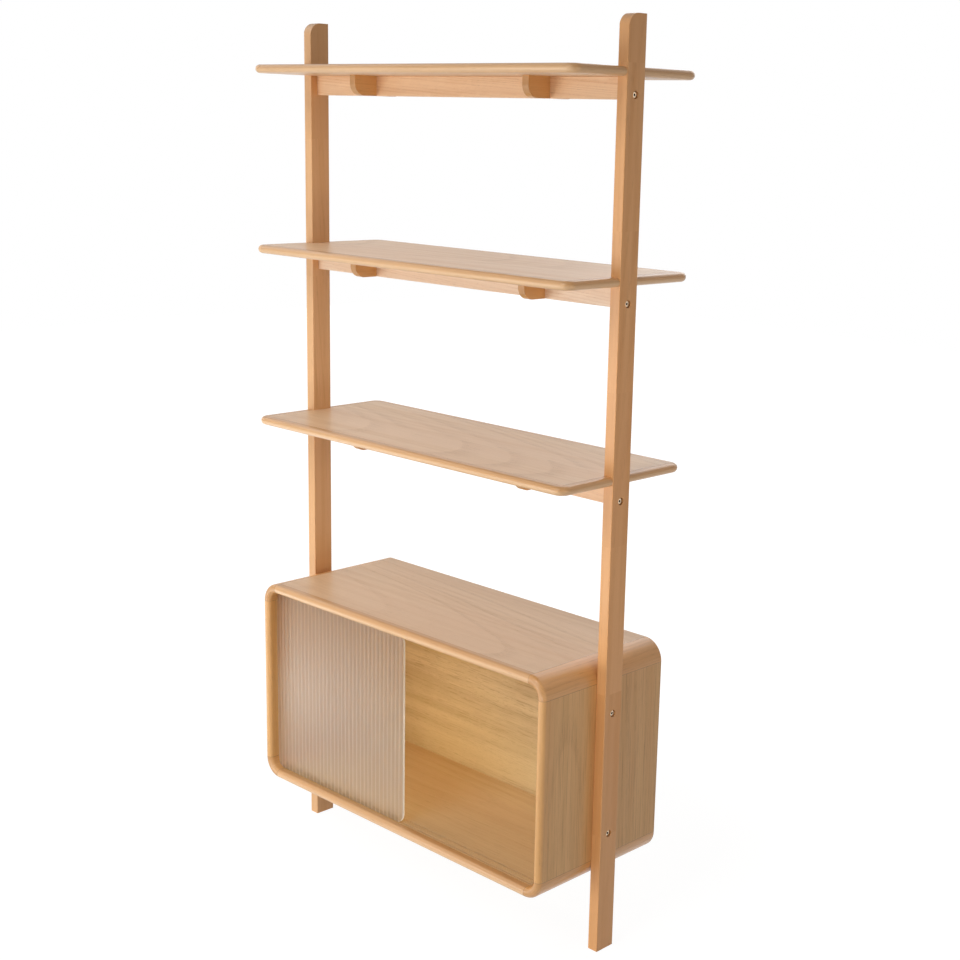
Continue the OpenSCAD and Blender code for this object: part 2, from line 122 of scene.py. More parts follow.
@dataclass
class Surface:
    """Points and the polygons between them.

    Attributes:
        points: One row of three coordinates for each point.
        loops: The point at each corner of each polygon, polygon after polygon.
        totals: How many corners each polygon has.
    """

    points: Array
    loops: Whole
    totals: Whole

    @classmethod
    def from_grid(cls, grid: Array, ring: bool = True, capped: bool = True) -> "Surface":
        """Join neighbouring points of a grid with quads.

        Args:
            grid: Points of shape (rows, columns, 3).
            ring: Whether the last column joins the first.
            capped: Whether a polygon closes the first and the last row.

        Returns:
            The surface, with its faces turned outwards if it is closed.
        """
        rows, columns = grid.shape[:2]
        index = np.arange(rows * columns).reshape(rows, columns)
        right = np.roll(index, -1, axis=1)
        if not ring:
            index, right = index[:, :-1], right[:, :-1]
        quads = np.stack([index[:-1], right[:-1], right[1:], index[1:]], axis=-1)
        loops, totals = quads.ravel(), np.full(quads.size // 4, 4)
        if capped:
            first = np.arange(columns)[::-1]
            last = np.arange(columns) + (rows - 1) * columns
            loops = np.concatenate([loops, first, last])
            totals = np.concatenate([totals, [columns, columns]])
        made = cls(grid.reshape(-1, 3), loops, totals)
        return made.turned_outwards() if capped else made

    @classmethod
    def joined(cls, parts: Iterable["Surface"]) -> "Surface":
        """Put several surfaces into one without welding them.

        Args:
            parts: The surfaces.

        Returns:
            One surface with the points and polygons of them all.
        """
        listed = list(parts)
        starts = np.cumsum([0] + [len(part.points) for part in listed[:-1]])
        return cls(
            np.concatenate([part.points for part in listed]),
            np.concatenate([part.loops + start for part, start in zip(listed, starts)]),
            np.concatenate([part.totals for part in listed]),
        )

    def volume(self) -> float:
        """Sum the signed volumes of the tetrahedra from the origin to each polygon.

        Returns:
            The volume, which is negative if the surface is inside out.
        """
        starts = np.cumsum(self.totals) - self.totals
        total = 0.0
        for corners in np.unique(self.totals):
            first = starts[self.totals == corners]
            shape = self.points[self.loops[first[:, None] + np.arange(corners)]]
            cross = np.cross(shape[:, 1:-1], shape[:, 2:])
            total += float(np.einsum("ijk,ik->", cross, shape[:, 0])) / 6
        return total

    def turned_outwards(self) -> "Surface":
        """Reverse every polygon if the closed surface is inside out."""
        if self.volume() >= 0:
            return self
        return Surface(self.points, self.loops[::-1].copy(), self.totals[::-1].copy())

    def moved(self, shift: Sequence[float]) -> "Surface":
        """Shift every point by the same step."""
        return Surface(self.points + np.asarray(shift, float), self.loops, self.totals)

    def mirrored(self, mirror: bool = True) -> "Surface":
        """Mirror the surface from right to left, with its faces still outwards.

        Args:
            mirror: False leaves it as it is.

        Returns:
            The surface on its side.
        """
        if not mirror:
            return self
        flipped = self.points * np.array([-1.0, 1.0, 1.0])
        return Surface(flipped, self.loops[::-1].copy(), self.totals[::-1].copy())

    def quarter_turned(self, turns: int) -> "Surface":
        """Turn the surface about Z.

        Args:
            turns: Number of quarter turns, anticlockwise from above.

        Returns:
            The turned surface.
        """
        cos, sin = round(math.cos(turns * math.pi / 2)), round(math.sin(turns * math.pi / 2))
        turn = np.array([[cos, -sin, 0], [sin, cos, 0], [0, 0, 1]], float)
        return Surface(self.points @ turn.T, self.loops, self.totals)

    def to_object(self, name: str, material: bpy.types.Material,
                  crease: float = 35.0) -> bpy.types.Object:
        """Make a Blender object of the surface, at the origin.

        Args:
            name: The name of the piece.
            material: Its finish.
            crease: Edges that bend more than this many degrees stay sharp.

        Returns:
            The new object, linked to the scene.
        """
        mesh = bpy.data.meshes.new(name)
        mesh.vertices.add(len(self.points))
        mesh.vertices.foreach_set("co", self.points.astype(np.float32).ravel())
        mesh.loops.add(len(self.loops))
        mesh.loops.foreach_set("vertex_index", self.loops.astype(np.int32))
        mesh.polygons.add(len(self.totals))
        starts = np.cumsum(self.totals) - self.totals
        mesh.polygons.foreach_set("loop_start", starts.astype(np.int32))
        mesh.polygons.foreach_set("use_smooth", np.ones(len(self.totals), bool))
        mesh.update(calc_edges=True)
        mesh.validate()
        mesh.set_sharp_from_angle(angle=math.radians(crease))
        mesh.materials.append(material)
        made = bpy.data.objects.new(name, mesh)
        bpy.context.scene.collection.objects.link(made)
        return made


def place_piece(piece: bpy.types.Object, body: str, nodes: Sequence[str]) -> None:
    """Let a new piece ride on a body and stand for its CAD nodes.

    Args:
        piece: The new piece, at rest.
        body: The body that it moves with.
        nodes: The CAD nodes that it stands for.
    """
    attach(piece, body)
    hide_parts(*nodes)
    LOG.info("%s: %d points, stands for %s", piece.name, len(piece.data.vertices), ", ".join(nodes))


# Finishes


def dimmed(colour: Rgb, share: float) -> Rgb:
    """Return a colour with its three parts multiplied by the same share."""
    return tuple(share * part for part in colour)


class NodeWeb:
    """The node tree of one material or world, built with short calls."""

    def __init__(self, owner: Owner) -> None:
        """Empty the tree of a new material or world.

        Args:
            owner: The material or world.
        """
        self.owner = owner
        self.owner.use_nodes = True
        self.tree = owner.node_tree
        self.tree.nodes.clear()

    def node(self, kind: str, inputs: dict | None = None, **settings: object) -> bpy.types.Node:
        """Add a node.

        Args:
            kind: The node's type, without the word ShaderNode.
            inputs: Values or sockets for its inputs, by name or by number.
            settings: Its other properties.

        Returns:
            The new node.
        """
        made = self.tree.nodes.new("ShaderNode" + kind)
        for name, value in settings.items():
            setattr(made, name, value)
        for key, value in (inputs or {}).items():
            if isinstance(value, Socket):
                self.tree.links.new(value, made.inputs[key])
            else:
                made.inputs[key].default_value = value
        return made

    def math(self, operation: str, *values: float | Socket) -> Socket:
        """Work out one number from others."""
        return self.node("Math", dict(enumerate(values)), operation=operation).outputs[0]

    def plus(self, first: float | Socket, *terms: tuple[Socket, float | Socket]) -> Socket:
        """Add products to a number.

        Args:
            first: The number.
            terms: The two factors of each product.

        Returns:
            The sum.
        """
        for value, factor in terms:
            first = self.math("ADD", first, self.math("MULTIPLY", value, factor))
        return first

    def part(self, vector: Socket, axis: int) -> Socket:
        """Return one coordinate of a vector."""
        return self.node("SeparateXYZ", {0: vector}).outputs[axis]

    def stretched(self, vector: Socket, scale: Point) -> Socket:
        """Scale a vector along each of its directions."""
        return self.node("Mapping", {"Vector": vector, "Scale": scale}).outputs[0]

    def noise(self, vector: Socket, scale: Point, detail: float = 2.0) -> Socket:
        """Return smooth noise from 0 to 1, scale being its changes in a metre each way."""
        inputs = {"Vector": self.stretched(vector, scale), "Scale": 1.0, "Detail": detail}
        return self.node("TexNoise", inputs).outputs[0]

    def ramp(self, value: Socket, low: float, high: float) -> Socket:
        """Rise smoothly from 0 to 1, or fall if low is above high.

        Args:
            value: The number that decides.
            low: Where the result is 0.
            high: Where the result is 1.

        Returns:
            The share from 0 to 1.
        """
        turned = low > high
        inputs = {"Value": value, "From Min": min(low, high), "From Max": max(low, high),
                  "To Min": float(turned), "To Max": float(not turned)}
        return self.node("MapRange", inputs, interpolation_type="SMOOTHSTEP").outputs[0]

    def blend(self, share: float | Socket, first: Rgb | Socket, second: Rgb | Socket,
              mode: str = "MIX") -> Socket:
        """Mix two colours.

        Args:
            share: How much of the second colour there is.
            first: The first colour.
            second: The second colour.
            mode: How the two are combined.

        Returns:
            The mixed colour.
        """
        colours = [c if isinstance(c, Socket) else (*c, 1.0) for c in (first, second)]
        inputs = {0: share, 6: colours[0], 7: colours[1]}
        return self.node("Mix", inputs, data_type="RGBA", blend_type=mode).outputs[2]

    def tinted(self, colour: Rgb | Socket, other: Rgb, share: Socket, most: float) -> Socket:
        """Turn a colour towards another one.

        Args:
            colour: The first colour.
            other: The colour that it turns towards.
            share: Where it turns, from 0 to 1.
            most: How far it turns where share is 1.

        Returns:
            The mixed colour.
        """
        return self.blend(self.math("MULTIPLY", share, most), colour, other)

    def finish(self, shader: Socket) -> Owner:
        """Connect the shader to the output.

        Args:
            shader: The shader of the surface, or of the background.

        Returns:
            The finished material or world.
        """
        world = isinstance(self.owner, bpy.types.World)
        self.node("OutputWorld" if world else "OutputMaterial", {"Surface": shader})
        return self.owner


@dataclass(frozen=True)
class Seam:
    """A glue line across a surface, where one coordinate has a given value.

    Attributes:
        axis: Number of the coordinate.
        at: Its value on the line.
        half_width: Half the width of the line.
    """

    axis: int
    at: float
    half_width: float = 0.0005

    def share(self, web: NodeWeb, place: Socket) -> Socket:
        """Measure how far a place lies from the line.

        Args:
            web: The nodes of the finish.
            place: The place on the piece.

        Returns:
            A socket that is 1 on the line and 0 beside it.
        """
        away = web.math("ABSOLUTE", web.math("SUBTRACT", web.part(place, self.axis), self.at))
        return web.ramp(away, self.half_width, 0.3 * self.half_width)


@dataclass(frozen=True)
class Oak:
    """Lacquered wood with growth rings, pores and streaks that run with the grain.

    Attributes:
        name: The name of the finish.
        pale: Colour between the rings.
        deep: Colour of the rings and streaks.
        warm: Colour that broad patches turn towards.
        ring: Distance between growth rings.
        ring_share: How strongly the rings are coloured.
        ring_fill: How much of a ring its dark part fills.
        streak_share: How strongly the broad streaks are coloured.
        line_share: How strongly the fine dark lines are coloured.
        line_scale: How often the fine dark lines change in a metre along the grain.
        pore_share: How dark the pores are.
        streak_scale: How often the broad streaks change in a metre across the grain.
        wave: How far the figure waves from side to side.
        leaf: Width of a leaf of veneer, or 0 for solid wood.
        block: Length of a block of finger-jointed wood, or 0 for one length.
        slant: How much the board is turned away from the pith, as a slope.
        roughness: Mean roughness of the wood under the lacquer.
        lacquer: How much of a smooth film the lacquer forms.
        lower: What the colour is multiplied by where the wood looks down, as a painted highlight
            from light below, or None.
        rear: What the colour is multiplied by where the wood looks back, as painted light that
            undoes a base colour set against light bounced on the other face, or None.
    """

    name: str
    pale: Rgb
    deep: Rgb
    warm: Rgb
    ring: float = 0.0034
    ring_share: float = 0.35
    ring_fill: float = 0.55
    streak_share: float = 0.5
    line_share: float = 0.2
    line_scale: float = 5.0
    pore_share: float = 0.35
    streak_scale: float = 60.0
    wave: float = 0.0
    leaf: float = 0.0
    block: float = 0.0
    slant: float = 0.02
    roughness: float = 0.42
    lacquer: float = 0.15
    # lower and rear tint the faces by the way they look: painted light, not a tone of the wood
    lower: Rgb | None = None
    rear: Rgb | None = None

    def material(self, grain: Grain, number: int,
                 seams: Sequence[Seam] = ()) -> bpy.types.Material:
        """Make the finish of one board.

        The figure comes first. Over it lie the painted light on the sides that look down or back,
        the dark end grain and the glue lines. Pores and rings also sink a little into the
        surface, and both pores and streaks are rougher than the wood beside them.

        Args:
            grain: The direction of the grain.
            number: The board's own number, which moves its pattern.
            seams: Glue lines that cross it.

        Returns:
            The material.
        """
        web = NodeWeb(bpy.data.materials.new(f"{self.name}_{number}"))
        place = web.node("TexCoord").outputs["Object"]
        board = self._board_vector(web, place, grain, number)
        rings = self._ring_share(web, board, number)
        pores = self._pore_share(web, board, rings)
        across = self.streak_scale
        streaks = web.ramp(web.noise(board, (1.3, across, across), 4.0), 0.36, 0.68)

        colour = self._figure(web, board, rings, streaks, pores)
        # Painted light: paler where the wood looks down, warmer where it looks back
        colour = self._painted_facing_light(web, colour)
        colour = self._end_darkened(web, colour, grain)
        for seam in seams:
            colour = web.tinted(colour, dimmed(self.deep, 0.22), seam.share(web, place), 0.75)

        height = web.plus(0.0, (pores, -1.0), (rings, -0.25))
        bump = web.node("Bump", {"Strength": 0.35, "Distance": 0.00012, "Height": height})
        rough = web.plus(self.roughness, (streaks, 0.08), (pores, 0.15))
        shader = web.node("BsdfPrincipled", {
            "Base Color": colour, "Roughness": rough, "Normal": bump.outputs[0],
            "Coat Weight": self.lacquer, "Coat Roughness": 0.2,
        })
        return web.finish(shader.outputs[0])

    def _board_vector(self, web: NodeWeb, place: Socket, grain: Grain, number: int) -> Socket:
        """Turn a place into lengths along and across the grain of this one board.

        Each leaf of veneer is shifted along the grain by its own length, each block of
        solid wood is cut from another depth, and smooth noise makes the figure wave.

        Args:
            web: The nodes of the finish.
            place: The place on the piece.
            grain: The direction of the grain.
            number: The board's own number, which shifts it in all three directions.

        Returns:
            The length along the grain, and then the two across it.
        """
        parts = web.node("SeparateXYZ", {0: place}).outputs
        along, across, depth = (parts[axis] for axis in grain.value)
        shift = np.random.default_rng(number).uniform(-9.0, 9.0, 3)
        along = web.math("ADD", along, float(shift[0]))
        if self.leaf:
            along = web.plus(along, (self._chance(web, across, self.leaf), 4.0))
        if self.block:
            depth = web.plus(depth, (self._chance(web, along, self.block), 0.02))
        if self.wave:
            swing = web.math("SUBTRACT", web.noise(place, (18.0, 18.0, 18.0)), 0.5)
            across = web.plus(across, (swing, 2.0 * self.wave))
        across = web.math("ADD", across, float(shift[1]))
        depth = web.math("ADD", depth, float(shift[2]))
        return web.node("CombineXYZ", {0: along, 1: across, 2: depth}).outputs[0]

    @staticmethod
    def _chance(web: NodeWeb, length: Socket, size: float) -> Socket:
        """Return a random number for each stretch of this size along a length."""
        number = web.math("FLOOR", web.math("DIVIDE", length, size))
        return web.node("TexWhiteNoise", {"W": number}, noise_dimensions="1D").outputs["Value"]

    def _ring_share(self, web: NodeWeb, board: Socket, number: int) -> Socket:
        """Draw the growth rings.

        They are circles round a pith that lies beside the board and runs almost along it.
        A ring is darkest where it starts, and fades over its filled part. Noise along the
        radius makes the years uneven, and each ring has its own random strength.

        Args:
            web: The nodes of the finish.
            board: Lengths along and across the grain.
            number: The board's own number, which places the pith.

        Returns:
            How much of a ring line there is at each point of the board.
        """
        chance = np.random.default_rng(number)
        shift = chance.uniform(-9.0, 9.0, 3)
        pith = shift[1:] + chance.uniform(0.05, 0.12, 2) * chance.choice([-1.0, 1.0], 2)
        parts = web.node("SeparateXYZ", {0: board}).outputs
        wave = web.math("SUBTRACT", web.noise(board, (1.1, 5.0, 5.0)), 0.5)
        ripple = web.math("SUBTRACT", web.noise(board, (6.0, 60.0, 60.0)), 0.5)
        side = web.math("SUBTRACT", parts[1], float(pith[0]))
        side = web.plus(side, (wave, 0.05), (ripple, 0.004))
        run = web.math("SUBTRACT", parts[0], float(shift[0]))
        back = web.plus(web.math("SUBTRACT", parts[2], float(pith[1])), (run, self.slant))
        reach = web.math("SQRT", web.plus(0.0, (side, side), (back, back)))
        years = web.node("TexNoise", {"W": reach, "Scale": 0.3 / self.ring, "Detail": 1.0},
                         noise_dimensions="1D").outputs[0]
        count = web.plus(web.math("DIVIDE", reach, self.ring), (years, 2.5))
        turn = web.math("FRACT", count)
        line = web.math("MAXIMUM", web.ramp(turn, self.ring_fill, 0.05),
                        web.ramp(turn, 0.9, 1.0))
        strength = self._chance(web, web.math("ADD", count, 0.05), 1.0)
        return web.math("MULTIPLY", line, web.math("POWER", strength, 0.7))

    def _pore_share(self, web: NodeWeb, board: Socket, rings: Socket) -> Socket:
        """Draw the open pores as short dashes of noise that is stretched along the grain.

        Args:
            web: The nodes of the finish.
            board: Lengths along and across the grain.
            rings: The rings, because pores crowd where a ring starts.

        Returns:
            How open the pores are at each point of the board.
        """
        dashes = web.ramp(web.noise(board, (42.0, 1500.0, 1500.0), 1.0), 0.56, 0.68)
        return web.math("MULTIPLY", dashes, web.plus(0.3, (rings, 0.7)))

    def _figure(self, web: NodeWeb, board: Socket, rings: Socket, streaks: Socket,
                pores: Socket) -> Socket:
        """Colour the figure of the wood.

        Rings, broad streaks and fine lines add up to a depth between the pale colour and
        the deep one. Broad patches turn it towards the warm colour, pores darken it, and
        each block has its own random depth.

        Args:
            web: The nodes of the finish.
            board: Lengths along and across the grain.
            rings: The growth rings.
            streaks: The broad streaks.
            pores: The open pores.

        Returns:
            The colour at each point of the board.
        """
        lines = web.ramp(web.noise(board, (self.line_scale, 330.0, 330.0), 3.0), 0.52, 0.72)
        patches = web.ramp(web.noise(board, (0.9, 9.0, 9.0)), 0.35, 0.7)
        depth = web.plus(0.0, (rings, self.ring_share), (streaks, self.streak_share),
                         (lines, self.line_share))
        colour = web.blend(depth, self.pale, self.deep)
        colour = web.tinted(colour, self.warm, patches, 0.6)
        colour = web.tinted(colour, dimmed(self.deep, 0.45), pores, self.pore_share)
        if not self.block:
            return colour
        tone = self._chance(web, web.part(board, 0), self.block)
        return web.tinted(colour, self.deep, tone, 0.5)

    def _painted_facing_light(self, web: NodeWeb, colour: Socket) -> Socket:
        """Paint light on the sides that look down or back: a painted highlight below, and a warmer
        painted tint behind.

        Args:
            web: The nodes of the finish.
            colour: The colour of the figure.

        Returns:
            The same colour, tinted on those sides.
        """
        facing = web.node("TexCoord").outputs["Normal"]
        if self.lower:
            # Painted highlight on faces that look down, where light from below falls
            down = web.ramp(web.part(facing, 2), 0.4, -0.25)
            colour = web.blend(down, colour, self.lower, "MULTIPLY")
        if self.rear:
            # Painted light on faces that look back, making them warmer
            back = web.ramp(web.part(facing, 1), 0.5, 0.9)
            colour = web.blend(back, colour, self.rear, "MULTIPLY")
        return colour

    def _end_darkened(self, web: NodeWeb, colour: Socket, grain: Grain) -> Socket:
        """Darken the faces that look along the grain, as end grain takes up more lacquer.

        Args:
            web: The nodes of the finish.
            colour: The colour of the other faces.
            grain: The direction of the grain.

        Returns:
            The same colour, darker on the end grain.
        """
        facing = web.part(web.node("TexCoord").outputs["Normal"], grain.value[0])
        end = web.ramp(web.math("ABSOLUTE", facing), 0.4, 0.95)
        return web.tinted(colour, dimmed(self.deep, 0.7), end, 0.45)


@dataclass(frozen=True)
class Flutes:
    """The row of flutes across a sheet of glass, along X.

    Attributes:
        start: X of the first valley.
        pitch: Distance between valleys.
        foot: Height of the lower end of the flutes.
        head: Height of their upper end.
        shortest: Length of the shortest dark stroke of painted shade at the foot.
        longest: Length of the longest one.
    """

    start: float
    pitch: float
    foot: float
    head: float
    shortest: float = 0.012
    longest: float = 0.027

    def valley_share(self, web: NodeWeb, place: Socket) -> Socket:
        """Measure how far a place lies from the middle of its flute.

        Args:
            web: The nodes of the finish.
            place: The place on the piece.

        Returns:
            A socket that is 1 in the valleys and 0 on the crests.
        """
        turn = web.math("FRACT", self._count(web, place))
        away = web.math("ABSOLUTE", web.math("SUBTRACT", turn, 0.5))
        return web.ramp(away, 0.3, 0.5)

    def head_shade_share(self, web: NodeWeb, place: Socket) -> Socket:
        """Return a socket that is 0 in the lower third and rises to 1 at the head."""
        # The share marks where the glass takes painted shade
        return web.ramp(web.part(place, 2), (2 * self.foot + self.head) / 3, self.head)

    def foot_shade_share(self, web: NodeWeb, place: Socket) -> Socket:
        """Draw dark strokes of painted shade that rise from the foot, each of its own random
        length.

        Args:
            web: The nodes of the finish.
            place: The place on the piece.

        Returns:
            A socket that is 1 on the strokes, which lie on the crests, and 0 elsewhere.
        """
        number = web.math("FLOOR", self._count(web, place))
        chance = web.node("TexWhiteNoise", {"W": number}, noise_dimensions="1D").outputs["Value"]
        length = web.plus(self.shortest, (chance, self.longest - self.shortest))
        above = web.math("DIVIDE", web.math("SUBTRACT", web.part(place, 2), self.foot), length)
        crest = web.math("SUBTRACT", 1.0, self.valley_share(web, place))
        return web.math("MULTIPLY", web.ramp(above, 1.0, 0.55), crest)

    def _count(self, web: NodeWeb, place: Socket) -> Socket:
        """Return the number of flutes between the first valley and a place."""
        across = web.math("SUBTRACT", web.part(place, 0), self.start)
        return web.math("DIVIDE", across, self.pitch)


@dataclass(frozen=True)
class Glass:
    """Fluted glass with a faint tint, which scatters a little of the light.

    Attributes:
        name: The name of the finish.
        crest: Its colour on the crests of the flutes.
        valley: Its colour in the valleys, paler as a painted highlight along each valley.
        head: What its colour is multiplied by at its upper end: painted shade, darker and more
            golden towards the top.
        roughness: Its lowest roughness.
        clearness: Share of the light that goes through, and isn't scattered.
        shadow: Colour of the light that it lets through on what lies behind.
    """

    name: str
    crest: Rgb = (0.72, 0.675, 0.57)
    valley: Rgb = (1.0, 0.98, 0.94)
    head: Rgb = (0.74, 0.57, 0.36)
    roughness: float = 0.28
    clearness: float = 0.92
    shadow: Rgb = (0.68, 0.58, 0.4)

    def material(self, flutes: Flutes) -> bpy.types.Material:
        """Make the finish, with faint cloudy changes of its roughness.

        Args:
            flutes: Flutes that give the painted pale and dark stripes and the dark strokes of
                painted shade.

        Returns:
            The material.
        """
        web = NodeWeb(bpy.data.materials.new(self.name))
        place = web.node("TexCoord").outputs["Object"]
        cloud = web.noise(place, (6.0, 6.0, 3.0), 3.0)
        rough = web.plus(self.roughness, (cloud, 0.03))
        # Painted highlight: the valleys are paler than the crests
        colour = web.blend(flutes.valley_share(web, place), self.crest, self.valley)
        # Painted shade: darker and more golden towards the head
        colour = web.blend(flutes.head_shade_share(web, place), colour, self.head, "MULTIPLY")
        # Painted shade: dark strokes rising from the foot of the glass
        strokes = flutes.foot_shade_share(web, place)
        colour = web.tinted(colour, dimmed(self.crest, 0.4), strokes, 0.35)
        glass = web.node("BsdfPrincipled", {
            "Base Color": colour, "Roughness": rough, "IOR": 1.45,
            "Transmission Weight": self.clearness, "Specular IOR Level": 0.3,
        })
        clear = web.node("BsdfTransparent", {"Color": (*self.shadow, 1.0)})
        shadow = web.node("LightPath").outputs["Is Shadow Ray"]
        mixed = web.node("MixShader", {0: shadow, 1: glass.outputs[0], 2: clear.outputs[0]})
        return web.finish(mixed.outputs[0])


@dataclass(frozen=True)
class GroundGlass:
    """The ground edge of a sheet of glass, where light comes out from inside.

    Attributes:
        name: The name of the finish.
        colour: Its colour.
    """

    name: str
    colour: Rgb = (0.99, 0.985, 0.97)

    def material(self) -> bpy.types.Material:
        """Make the finish, with the marks of the stone as noise in colour and roughness.

        Returns:
            The material.
        """
        web = NodeWeb(bpy.data.materials.new(self.name))
        place = web.node("TexCoord").outputs["Object"]
        marks = web.noise(place, (900.0, 900.0, 300.0), 2.0)
        colour = web.blend(marks, self.colour, dimmed(self.colour, 0.94))
        rough = web.plus(0.35, (marks, 0.3))
        frosted = web.node("BsdfPrincipled", {
            "Base Color": colour, "Roughness": rough, "IOR": 1.45, "Transmission Weight": 0.2})
        inner = web.node("BsdfTranslucent", {"Color": colour})
        mixed = web.node("MixShader", {0: 0.6, 1: frosted.outputs[0], 2: inner.outputs[0]})
        return web.finish(mixed.outputs[0])


@dataclass(frozen=True)
class Steel:
    """Zinc-plated steel with fine turning marks and a few duller spots.

    Attributes:
        name: The name of the finish.
        colour: Its colour.
        roughness: Its lowest roughness.
        painted_shade_x: Distance from the middle, along X, inside which it is darkened as painted
            shade, or 0.
    """

    name: str
    colour: Rgb
    roughness: float
    painted_shade_x: float = 0.0

    def material(self) -> bpy.types.Material:
        """Make the finish: spots are smooth noise, marks are finer noise in the roughness.

        Returns:
            The material.
        """
        web = NodeWeb(bpy.data.materials.new(self.name))
        place = web.node("TexCoord").outputs["Object"]
        spots = web.ramp(web.noise(place, (260.0, 260.0, 260.0), 3.0), 0.4, 0.7)
        marks = web.noise(place, (1800.0, 1800.0, 1800.0), 2.0)
        colour = web.tinted(self.colour, dimmed(self.colour, 0.6), spots, 0.35)
        # Painted shade: dark inside the recess, below the face of the head
        if self.painted_shade_x:
            away = web.math("ABSOLUTE", web.part(place, 0))
            painted_shade = web.ramp(away, self.painted_shade_x, self.painted_shade_x - 0.0008)
            colour = web.blend(painted_shade, colour, dimmed(self.colour, 0.07))
        rough = web.plus(self.roughness, (marks, 0.16))
        bump = web.node("Bump", {"Strength": 0.2, "Distance": 0.00005, "Height": marks})
        shader = web.node("BsdfPrincipled", {
            "Base Color": colour, "Metallic": 1.0, "Roughness": rough,
            "Normal": bump.outputs[0],
        })
        return web.finish(shader.outputs[0])


POST_OAK = Oak("oak_post", srgb(232, 177, 119), srgb(214, 153, 93), srgb(228, 165, 103),
               ring_share=0.3, streak_share=0.5, block=0.31)
# A paler copy of the post oak for the left post: painted light, for the brighter light on its inner
# face
LIT_LEFT_POST_OAK = Oak("oak_left_post_lit", srgb(232, 186, 137), srgb(213, 161, 107), srgb(227, 173, 117),
                    ring_share=0.3, streak_share=0.5, block=0.31)
RAIL_OAK = Oak("oak_rail", srgb(248, 210, 169), srgb(227, 178, 132), srgb(242, 197, 154),
               ring=0.007, ring_share=0.45, streak_share=0.5, slant=0.06, wave=0.008)
PALE_RAIL_OAK = replace(RAIL_OAK, name="oak_pale_rail", pale=srgb(248, 224, 198),
                        deep=srgb(227, 190, 154), warm=srgb(242, 210, 180))
# A darker copy of the oak for the bearers: painted shade, for the shade under the shelves
SHADED_BEARER_OAK = Oak("oak_bearer_shaded", srgb(221, 171, 111), srgb(201, 145, 86), srgb(215, 160, 100),
                 ring_share=0.2, streak_share=0.4)
UPRIGHT_OAK = Oak("oak_upright_edge", srgb(220, 170, 108), srgb(199, 143, 80), srgb(213, 157, 91),
                  ring_share=0.2, streak_share=0.4, lacquer=0.35)
# A darker copy of the upright edge oak whose downward faces are paler: a painted highlight along
# the lower half of each nose
EDGE_OAK = replace(UPRIGHT_OAK, name="oak_edge", pale=srgb(211, 164, 113),
                   deep=srgb(190, 138, 83), warm=srgb(204, 152, 96), lower=(1.24, 1.46, 1.9))
MOULDING_OAK = Oak("oak_moulding", srgb(229, 176, 114), srgb(196, 141, 80), srgb(217, 159, 97),
                   ring_share=0.4, streak_share=0.5, line_share=0.35, lacquer=0.45)
TOP_VENEER = Oak("veneer_top", srgb(231, 197, 159), srgb(205, 166, 125), srgb(224, 185, 145),
                 ring=0.006, ring_share=0.4, streak_share=0.3, line_share=0.25, leaf=0.24,
                 slant=0.04)
SIDE_VENEER = Oak("veneer_side", srgb(225, 179, 120), srgb(172, 125, 76), srgb(211, 159, 102),
                  ring=0.006, ring_share=0.15, streak_share=0.2, line_share=0.55, leaf=0.16)
FLOOR_VENEER = Oak("veneer_floor", srgb(227, 198, 150), srgb(200, 162, 113), srgb(219, 182, 134),
                   ring_share=0.2, streak_share=0.35, leaf=0.24)
# Its base colour is cooler, to offset the warm light bounced inside the cabinet, and its faces that
# look back are tinted warm again: painted light
BACK_VENEER = Oak("veneer_back", srgb(223, 200, 158), srgb(154, 119, 75), srgb(206, 182, 133),
                  ring=0.008, ring_share=0.15, streak_share=0.5, streak_scale=22.0,
                  line_share=0.35, line_scale=14.0, wave=0.007, leaf=0.13, slant=0.05,
                  rear=(1.12, 0.9, 0.8))
BEECH = Oak("beech", srgb(224, 190, 146), srgb(196, 150, 104), srgb(214, 172, 126),
            ring_share=0.15, pore_share=0.1)
GROUND_GLASS = GroundGlass("ground_glass")
FLUTED_GLASS = Glass("fluted_glass")
ZINC = Steel("zinc_plated", srgb(176, 172, 162), 0.3)
BRIGHT_STEEL = Steel("bright_steel", srgb(236, 218, 190), 0.3)


# Sub-assemblies


@dataclass
class Layout:
    """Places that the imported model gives, read from the boxes of its nodes.

    Attributes:
        shelf_tops: Height of the top face of each shelf, by its name.
        shelf_t: Thickness of a shelf.
        post_out_x: X of the outer face of the right post.
        post_in_x: X of its inner face.
        case_low: Lowest corner of the cabinet's box.
        case_high: Highest corner of it.
    """

    shelf_tops: dict[str, float]
    shelf_t: float
    post_out_x: float
    post_in_x: float
    case_low: Vector
    case_high: Vector

    @classmethod
    def from_frame(cls) -> "Layout":
        """Read the boxes once.

        Returns:
            The places.
        """
        panels = {name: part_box(f"shelf_{name}_panel") for name in ("top", "middle", "low")}
        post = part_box("post_right")
        return cls(
            shelf_tops={name: box[1].z for name, box in panels.items()},
            shelf_t=panels["top"][1].z - panels["top"][0].z,
            post_out_x=post[1].x,
            post_in_x=post[0].x,
            case_low=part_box("corner_floor_left")[0],
            case_high=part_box("corner_top_right")[1],
        )


